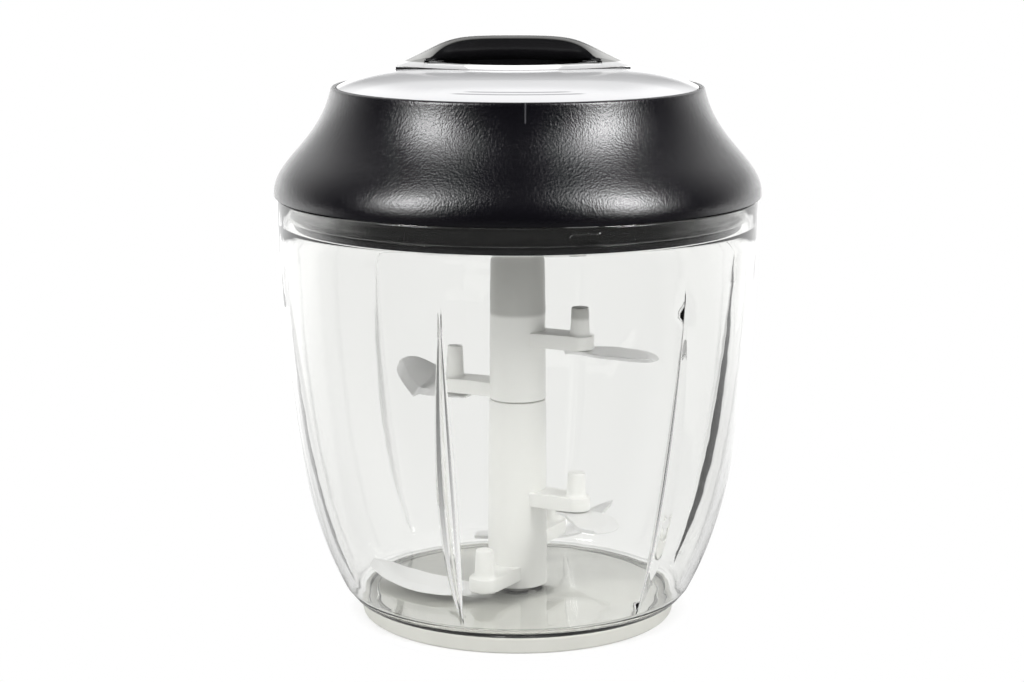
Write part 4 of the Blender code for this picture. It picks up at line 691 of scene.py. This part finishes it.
def blade_mesh(name):
    """A thin sheet swept along a curve, ground on one side and closed at both ends."""
    heel, knee, tip, width, fullness, tilt, rise = blades[name]
    angle, base = arms[name][:2]
    controls = [polar(radius, angle + turn) for radius, turn in (heel, knee, tip)]
    top = base - 0.0003
    mesh = bmesh.new()
    rings = []
    count = 60
    for k in range(count + 1):
        t = 0.5 - 0.5 * math.cos(math.pi * k / count) if k > count / 2 else k / count
        middle = controls[0] * (1 - t) ** 2 + controls[1] * 2 * t * (1 - t) + controls[2] * t * t
        along = (controls[1] - controls[0]) * (1 - t) + (controls[2] - controls[1]) * t
        along.normalize()
        left = Vector((-along.y, along.x, 0))
        beyond = ease((middle.length - clear_of_arm) / (tip[0] - clear_of_arm))
        lean = math.radians(tilt) * ease(3 * beyond)
        wide = root_width + (width - root_width) * ease(t / 0.45)
        half = max(wide * math.sqrt(max(1 - t ** fullness, 0)), point_width) / 2
        bevel = min(ground_width, half)
        height = top + rise * beyond
        across = ((-half, -0.0002), (-half + 0.0002, -blade_sheet), (half, -blade_sheet), (half, -0.00085))
        across += ((half - bevel, -0.00002), (half - bevel - 0.0001, 0), (-half + 0.0002, 0))
        ring = []
        for side, depth in across:
            point = middle + left * side * math.cos(lean)
            point.z = height + depth - side * math.sin(lean)
            ring.append(mesh.verts.new(point))
        rings.append(ring)
    skin(mesh, rings)
    mesh.faces.new(rings[0])
    mesh.faces.new(rings[-1])
    return mesh


for name in blades:
    node = f"blade_{name}"
    piece(f"{node}_ground", blade_mesh(name), sheet_steel, "blade_assembly", [node])


# Lid dome
# A thick black moulding whose side runs in an S from the rim to the neck. Its surface is
# spark-eroded to a fine grain, which breaks the lights up into soft, speckled bands.
black, spot = new_finish("grained_black")
cells = black.node("ShaderNodeTexVoronoi", {"feature": "SMOOTH_F1"}, {"Vector": spot, "Scale": 1800.0})
grain = cells * 0.6 + noise(black, spot, 2800.0, 3.0) * 0.7
wear = noise(black, spot, 45.0, 4.0)
across, forward, height = black.axes(spot)
# A thin line along the parting line on the front of the neck is painted lighter: a painted highlight.
parting_line_highlight = 1 - black.within(abs(across - 0.0018), 0.0001, 0.0003)
parting_line_highlight = parting_line_highlight * (1 - black.within(forward, -0.05, -0.04)) * black.within(height, 0.1443, 0.1450)
base = black.mix(wear, (0.0016, 0.0014, 0.0030), (0.0028, 0.0025, 0.0045))
black.surface({
    "Base Color": black.mix(parting_line_highlight, base, (0.05, 0.05, 0.055)),
    "Roughness": 0.20 + 0.06 * wear,
    "Specular IOR Level": 0.72,
    "Normal": bump(black, grain, 0.9, 0.00009),
})
lid_radius = 0.0678
lid_foot = 0.1199
lid_wall = 0.0022
neck = 0.1490
side_controls = ((0.06813, 0.12948), (0.05542, 0.13389), (0.05182, neck))
dome = [(0.0676, lid_foot)]
dome += rounded((lid_radius, lid_foot + 0.0001), (0.0676, lid_foot), (lid_radius, 0.1210), 0.0001, 2)
dome += bezier((lid_radius, 0.1204), *side_controls, 60)[1:]
dome += [(0.0517, neck + 0.0004), (0.0514, neck + 0.0007), (0.0511, neck + 0.0008), (0.0506, neck + 0.0008)]
dome += [(0.0504, neck + 0.0006), (0.0504, neck - 0.0003), (0.0499, neck - 0.0005)]
under = offset_curve(bezier((lid_radius, lid_foot), *side_controls, 24), lid_wall)
dome += [point for point in reversed(under) if 0.1216 < point[1] < neck - 0.0007]
dome += [(0.0656, 0.1214), (0.0610, 0.1214), (0.0608, lid_foot)]
piece("lid_dome", turned(dome, 220), black, "lid", ["lid_shell"])


# Lid underside
# A black plate with a skirt that slides into the collar. A bead round the foot of the skirt
# holds the seal up against the plate.
skirt = 0.0624
plate_bore = 0.0074
underplate = [
    (plate_bore, 0.1171),
    (0.0599, 0.1171),
    (0.0602, 0.1168),
    (0.0602, 0.1120),
    (0.0604, 0.1118),
    (0.0627, 0.1118),
    (0.0629, 0.1120),
    (0.0629, 0.1135),
    (skirt, 0.1140),
    (skirt, 0.1196),
    (plate_bore, 0.1196),
]
satin, spot = new_finish("satin_black")
wear = noise(satin, spot, 60.0, 3.0)
satin.surface({
    "Base Color": satin.mix(wear, (0.005, 0.005, 0.006), (0.010, 0.010, 0.011)),
    "Roughness": 0.20 + 0.10 * wear,
    "Normal": bump(satin, noise(satin, spot, 2800.0, 2.0), 0.2, 0.00002),
})
piece("lid_underside", turned(underplate), satin, "lid", ["lid_base"], 0.0001)


# Sealing ring
# A lip seal of clear, slightly milky silicone, pushed over the skirt, which shows through it.
# Its waist leaves two lips that press on the inside of the collar.
milky, spot = new_finish("milky_silicone")
cloud = noise(milky, spot, 120.0, 4.0)
milky.surface({
    "Base Color": milky.mix(cloud, (0.90, 0.90, 0.88), (0.95, 0.95, 0.94)),
    "Roughness": 0.03 + 0.04 * cloud,
    "IOR": 1.41,
    "Transmission Weight": 1.0,
})
let_light_through(milky, (0.92, 0.92, 0.91))
seal = [
    (0.0627, 0.1145),
    (0.0644, 0.1144),
    (0.0647, 0.1147),
    (0.0647, 0.1153),
    (0.0644, 0.1160),
    (0.0643, 0.1171),
    (0.0644, 0.1182),
    (0.0647, 0.1189),
    (0.0647, 0.1193),
    (0.0644, 0.1196),
    (0.0627, 0.1196),
]
piece("lip_seal", turned(seal), milky, "lid", ["sealing_ring"])


# Top cap
# A glossy light grey dome pressed into the neck of the lid, with a lens-shaped hole for the
# handle's seat. Two shallow arcs are moulded into its front, and painted dark as painted shade
# in their grooves.
gloss, spot = new_finish("glossy_light_grey")
swirl = noise(gloss, spot, 38.0, 3.0)
dust = noise(gloss, spot, 1500.0, 2.0)
reach = from_axis(gloss, spot)
across, forward = gloss.axes(spot)[:2]
grooves = ((0.0446, 0.0147), (0.0460, 0.0182))
groove_run_out = 0.003
# The two grooves are painted dark: painted shade in them.
painted_groove_shade = 0.0
for radius, half_length in grooves:
    on_line = 1 - gloss.within(abs(reach - radius), 0.0001, 0.0004)
    on_length = 1 - gloss.within(abs(across), half_length - groove_run_out, half_length)
    painted_groove_shade = painted_groove_shade + on_line * on_length * (1 - gloss.within(forward, -0.02, 0.0))
pale = gloss.mix(swirl, (0.56, 0.56, 0.57), (0.61, 0.61, 0.62))
gloss.surface({
    "Base Color": gloss.mix(painted_groove_shade * 0.8, pale, (0.20, 0.20, 0.21)),
    "Roughness": 0.09 + 0.07 * swirl,
    "Coat Weight": 0.25 + 0.1 * dust,
    "Normal": bump(gloss, swirl, 0.1, 0.0001),
})
handle_offset = -0.0013
cap_hole = (0.0332, 0.0170)
cap_radius, cap_rim, cap_rise = 0.0501, 0.1497, 0.0056
cap_wall = 0.0020
cap_rings = 26
cap_skirt, cap_skirt_foot = 0.0476, 0.1460
groove_half, groove_slope, groove_depth = 0.0001, 0.0003, 0.00012


def lens_depth(x, size):
    """Half the depth of the handle's outline: two shallow arcs that meet in points."""
    return max(size[1] * (1 - (x / size[0]) ** 2), 0.0)


def lens(size, count=48):
    points = []
    for side in (-1, 1):
        for k in range(count):
            x = side * size[0] * (1 - 2 * k / count)
            points.append((x + handle_offset, side * lens_depth(x, size)))
    return points


def cap_height(radius):
    """The cap is nearly flat in the middle and falls off towards its rim."""
    return cap_rim + cap_rise * (1 - (radius / cap_radius) ** 4.2)


def on_front(point):
    """Whether a point is in the band of the two arcs."""
    return point.y < -0.03 and point.z > 0.1504 and 0.0435 < point.xy.length < 0.0470


def cap_mesh():
    """The dome outside the handle's hole, made as rings that run from the lens to the rim."""
    mesh = bmesh.new()
    rings = []
    outline = lens(cap_hole)[::-1]
    hole = [Vector(point) for point in outline]
    angles = [math.atan2(y, x) for x, y in outline]
    for step in [0, *range(cap_rings + 1)]:
        ring = []
        for point, angle in zip(hole, angles):
            rim_point = Vector((math.cos(angle), math.sin(angle))) * cap_radius
            place = point.lerp(rim_point, (step / cap_rings) ** 0.8)
            ring.append(mesh.verts.new((place.x, place.y, cap_height(place.length))))
        rings.append(ring)
    for vert in rings[0]:
        vert.co.z -= cap_wall
    edge = [(cap_radius + 0.0001, 0.1494), (cap_radius, 0.1490), (0.0493, 0.1489), (0.0492, cap_skirt_foot)]
    edge += [(cap_skirt, cap_skirt_foot), (cap_skirt, cap_height(cap_skirt) - cap_wall)]
    rings += [ring_at(mesh, radius, height, angles) for radius, height in edge]
    rings.append([mesh.verts.new((*point, cap_height(point.length) - cap_wall)) for point in hole])
    skin(mesh, rings)
    bmesh.ops.remove_doubles(mesh, verts=mesh.verts, dist=1e-6)
    refine(mesh, 7, on_front)
    for vert in mesh.verts:
        for radius, half_length in grooves:
            if on_front(vert.co):
                off = ease((abs(vert.co.xy.length - radius) - groove_half) / groove_slope)
                ends = ease((abs(vert.co.x) - half_length + groove_run_out) / groove_run_out)
                vert.co.z -= groove_depth * (1 - off) * (1 - ends)
    return mesh


piece("cap_dome", cap_mesh(), gloss, "lid", ["top_cap"])


# Handle dock
# A black cup set into the cap, with a ledge that the handle stands on and a well for the
# finger tips. The cord comes up through an eyelet in its ledge.
dress(satin, "handle_dock")


# Handle
# A grey strip bent over a black rounded bar; its crest is painted near black as painted shade,
# its feet and ring are painted pale as painted light, and its scoop carries a painted highlight.
# The strip widens into a thin ring round the finger opening, with a shallow scoop in its front.
handle_foot = 0.1552
handle_lens = (0.0322, 0.0160)
finger_lens = (0.0259, 0.0136)
ring_height = 0.0012
ring_end = 0.0252
ring_edge = 0.0002
bar_end = 0.0240
strip_end = 0.0243
strip_edge = 0.0002
bar_waist = 0.0048
grip_depth = 0.0059
scoop_half, scoop_slope, scoop_depth = 0.0118, 0.0020, 0.0008
crest_curve = bezier((0, 0.0084), (0.01936, 0.0084), (0.01676, 0.0077), (0.0322, 0.0003), 120)


def crest(x):
    """Height of the arch above the handle's foot."""
    x = abs(x)
    for (x0, y0), (x1, y1) in zip(crest_curve, crest_curve[1:]):
        if x0 <= x <= x1 and x1 > x0:
            return y0 + (y1 - y0) * (x - x0) / (x1 - x0)
    return crest_curve[-1][1]


def bar_depth(x):
    """Half the depth of the strip and the bar, which flare towards their feet."""
    flare = 0.0112 * (abs(x) / 0.0220) ** 5.3
    return min((bar_waist + flare) / 2, lens_depth(x, handle_lens))


def crown(x):
    """How far the long edges of the strip lie below its middle line."""
    swell = 0.0004 + 0.0016 * (bar_depth(x) / 0.0080) ** 2
    return min(swell, 0.45 * crest(x))


def strip_section(x, is_open):
    """A thin crowned strip where the arch is open below, and solid down to the foot elsewhere."""
    half = max(bar_depth(x), 0.0002)
    top = handle_foot + crest(x)
    side = top - crown(x)
    bottom = side - strip_edge if is_open else handle_foot
    side = max(side, bottom + 0.00005)
    section = [(-half, bottom), (half, bottom)]
    for k in range(17):
        across = 1 - k / 8
        section.append((half * across, side + (top - side) * (1 - abs(across) ** 2.4)))
    return [Vector((x + handle_offset, y, z)) for y, z in section]


def ring_section(x, side):
    """The ring round the finger opening; its front is scooped."""
    outer = lens_depth(x, handle_lens)
    inner = max(lens_depth(x, finger_lens), 0.0024)
    inner = min(inner, outer - ring_edge)
    top = handle_foot + ring_height
    edge = top
    if side < 0:
        edge -= scoop_depth * (1 - ease((abs(x) - scoop_half) / scoop_slope))
    section = ((side * inner, handle_foot), (side * outer, handle_foot), (side * outer, edge - ring_edge))
    section += ((side * (outer - ring_edge), edge), (side * (inner + ring_edge), top))
    section += ((side * inner, top - ring_edge),)
    return [Vector((x + handle_offset, y, z)) for y, z in section]


def bar_section(x):
    """The grip: flat on top, where the strip lies, and round below."""
    half = bar_depth(x)
    top = handle_foot + crest(x) - crown(x) - strip_edge
    depth = max(min(grip_depth, top - handle_foot - 0.0014), 0.0003)
    section = [Vector((x + handle_offset, half, top)), Vector((x + handle_offset, -half, top))]
    for step in range(17):
        turn = math.pi * step / 16
        z = top - depth * (0.35 + 0.65 * math.sin(turn))
        section.append(Vector((x + handle_offset, -half * math.cos(turn), z)))
    return section


def even_places(end, steps):
    """Places from one side of the handle to the other."""
    return [end * k / steps for k in range(-steps, steps + 1)]


def add_loft(mesh, sections):
    """Add a form that runs through its sections and is closed at both ends."""
    form = bmesh.new()
    rings = [[form.verts.new(point) for point in section] for section in sections]
    skin(form, rings)
    form.faces.new(rings[0])
    form.faces.new(rings[-1])
    absorb(mesh, form)


grey, spot = new_finish("glossy_grey")
swirl = noise(grey, spot, 50.0, 3.0)
across, forward, height = grey.axes(spot)
off_middle = abs(across - handle_offset)
# Painted light and shade: the crest is painted near black as shade, the low parts (the ring and the strip's
# feet) are painted pale as light on their upward faces, and the scoop in the ring's front is painted whiter
# still as a highlight. The rest of the strip's ends keep a middle grey.
scoop = (1 - grey.within(off_middle, 0.0115, 0.0130)) * (1 - grey.within(forward, -0.0140, -0.0130))
low = 1 - grey.within(height, 0.1565, 0.1568)
ends = grey.maths("MAXIMUM", grey.within(off_middle, 0.0185, 0.0265), low)
light = grey.mix(low, (0.34, 0.34, 0.33), (0.76, 0.76, 0.76))
light = grey.mix(scoop * low, light, (0.86, 0.86, 0.86))
grey.surface({
    "Base Color": grey.mix(ends, grey.mix(swirl, (0.06, 0.06, 0.057), (0.09, 0.09, 0.087)), light),
    "Roughness": 0.14 + 0.08 * swirl,
    "Specular IOR Level": 0.3,
})
point_end = handle_lens[0] - 0.0002
foot_start = strip_end + 0.0001
foot_places = [foot_start + (point_end - foot_start) * k / 16 for k in range(17)]
sections = [strip_section(-x, False) for x in reversed(foot_places)]
sections += [strip_section(x, True) for x in even_places(strip_end, 30)]
sections += [strip_section(x, False) for x in foot_places]
mesh = bmesh.new()
add_loft(mesh, sections)
for side in (-1, 1):
    add_loft(mesh, [ring_section(x, side) for x in even_places(ring_end, 60)])
piece("handle_strip", mesh, grey, "handle", ["handle_cover"])
mesh = bmesh.new()
add_loft(mesh, [bar_section(x) for x in even_places(bar_end, 28)])
piece("handle_bar", mesh, satin, "handle", ["handle_grip"])
dress(satin, "handle_plate")


# Drive and reel
# What turns inside the lid: the nylon spigot and its bronze bush, the ratchet cup, the spool
# with its two pawls, the case of the spring, and the guide pulley of the cord.
nylon, spot = new_finish("grey_nylon")
cloud = noise(nylon, spot, 160.0, 4.0)
nylon.surface({
    "Base Color": nylon.mix(cloud, (0.23, 0.23, 0.23), (0.32, 0.32, 0.32)),
    "Roughness": 0.40 + 0.2 * cloud,
})
dress(nylon, "drive_spigot", "spring_case")
bronze, spot = new_finish("sintered_bronze")
pores = noise(bronze, spot, 2400.0, 3.0)
bronze.surface({
    "Base Color": bronze.mix(pores, (0.42, 0.27, 0.13), (0.58, 0.41, 0.22)),
    "Metallic": 1.0,
    "Roughness": 0.34 + 0.14 * pores,
})
dress(bronze, "drive_bush")
dress(white, "ratchet_cup", "cord_spool", "pawl_front", "pawl_rear", "guide_pulley")


# Cord
# A thin braided nylon cord. Its knot sits in the handle, it runs down through the eyelet and
# round the pulley, and the rest is wound on the spool in two layers.
braid, spot = new_finish("braided_nylon")
weave = braid.node("ShaderNodeTexWave", {"wave_type": "BANDS", "bands_direction": "DIAGONAL"},
                   {"Vector": spot, "Scale": 420.0, "Distortion": 1.2})
braid.surface({
    "Base Color": braid.mix(weave, (0.66, 0.66, 0.63), (0.84, 0.84, 0.82)),
    "Roughness": 0.7 + 0.15 * weave,
    "Normal": bump(braid, weave, 0.6, 0.00015),
})
cord_radius = 0.0010
cord_sides = 12
entry = Vector((0.0250, 0, 0))
outer_radius, inner_radius = 0.0149, 0.0126
touch_angle = -math.acos(outer_radius / entry.length)
touch = Vector((math.cos(touch_angle), math.sin(touch_angle), 0)) * outer_radius
run_direction = (touch - entry).normalized()
run_height = 0.1273
bend_radius = 0.0033
pulley = entry + run_direction * bend_radius + Vector((0, 0, run_height + bend_radius))
knot_height = 0.1532


def cord_tube(points):
    """A round tube along a line of points, closed at both ends."""
    mesh = bmesh.new()
    rings = []
    for k, point in enumerate(points):
        before = points[max(k - 1, 0)]
        after = points[min(k + 1, len(points) - 1)]
        along = (after - before).normalized()
        side = along.cross(Vector((0, 0, 1)))
        if side.length < 0.3:
            side = along.cross(Vector((-run_direction.y, run_direction.x, 0)))
        side.normalize()
        other = along.cross(side)
        ring = []
        for step in range(cord_sides):
            turn = 2 * math.pi * step / cord_sides
            outward = side * math.cos(turn) + other * math.sin(turn)
            ring.append(mesh.verts.new(point + outward * cord_radius))
        rings.append(ring)
    skin(mesh, rings)
    mesh.faces.new(rings[0])
    mesh.faces.new(rings[-1])
    return mesh


run = [entry + Vector((0, 0, knot_height + (pulley.z - knot_height) * k / 30)) for k in range(31)]
run_piece = piece("cord_run", cord_tube(run), braid, None, ["pull_cord"])
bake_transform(run_piece)
bend = []
for k in range(13):
    turn = math.pi / 2 * k / 12
    bend.append(pulley + (run_direction * -math.cos(turn) - Vector((0, 0, math.sin(turn)))) * bend_radius)
leave = bend[-1]
landing = touch + Vector((0, 0, run_height))
bend += [leave.lerp(landing, k / 10) for k in range(1, 10)]
piece("cord_bend", cord_tube(bend), braid, "lid")
layers = (("outer", outer_radius, 1.55, 0.00245), ("inner", inner_radius, 1.86, 0.00204))
for name, radius, turns, pitch in layers:
    winding = []
    for k in range(121):
        share = turns * k / 120
        angle = math.degrees(touch_angle) - 360 * share
        winding.append(polar(radius, angle, run_height + pitch * share))
    piece(f"cord_{name}_layer", cord_tube(winding), braid, "spool", ["cord_coil"])
knot_outline = [(0, 0), (0.0014, 0.0001), (0.0019, 0.0005), (0.0017, 0.0009), (0.0008, 0.0012), (0, 0.0012)]
mesh = turned(knot_outline, 24)
bmesh.ops.translate(mesh, vec=entry + Vector((0, 0, 0.1535)), verts=mesh.verts)
piece("knot", mesh, braid, "handle", ["cord_knot"])
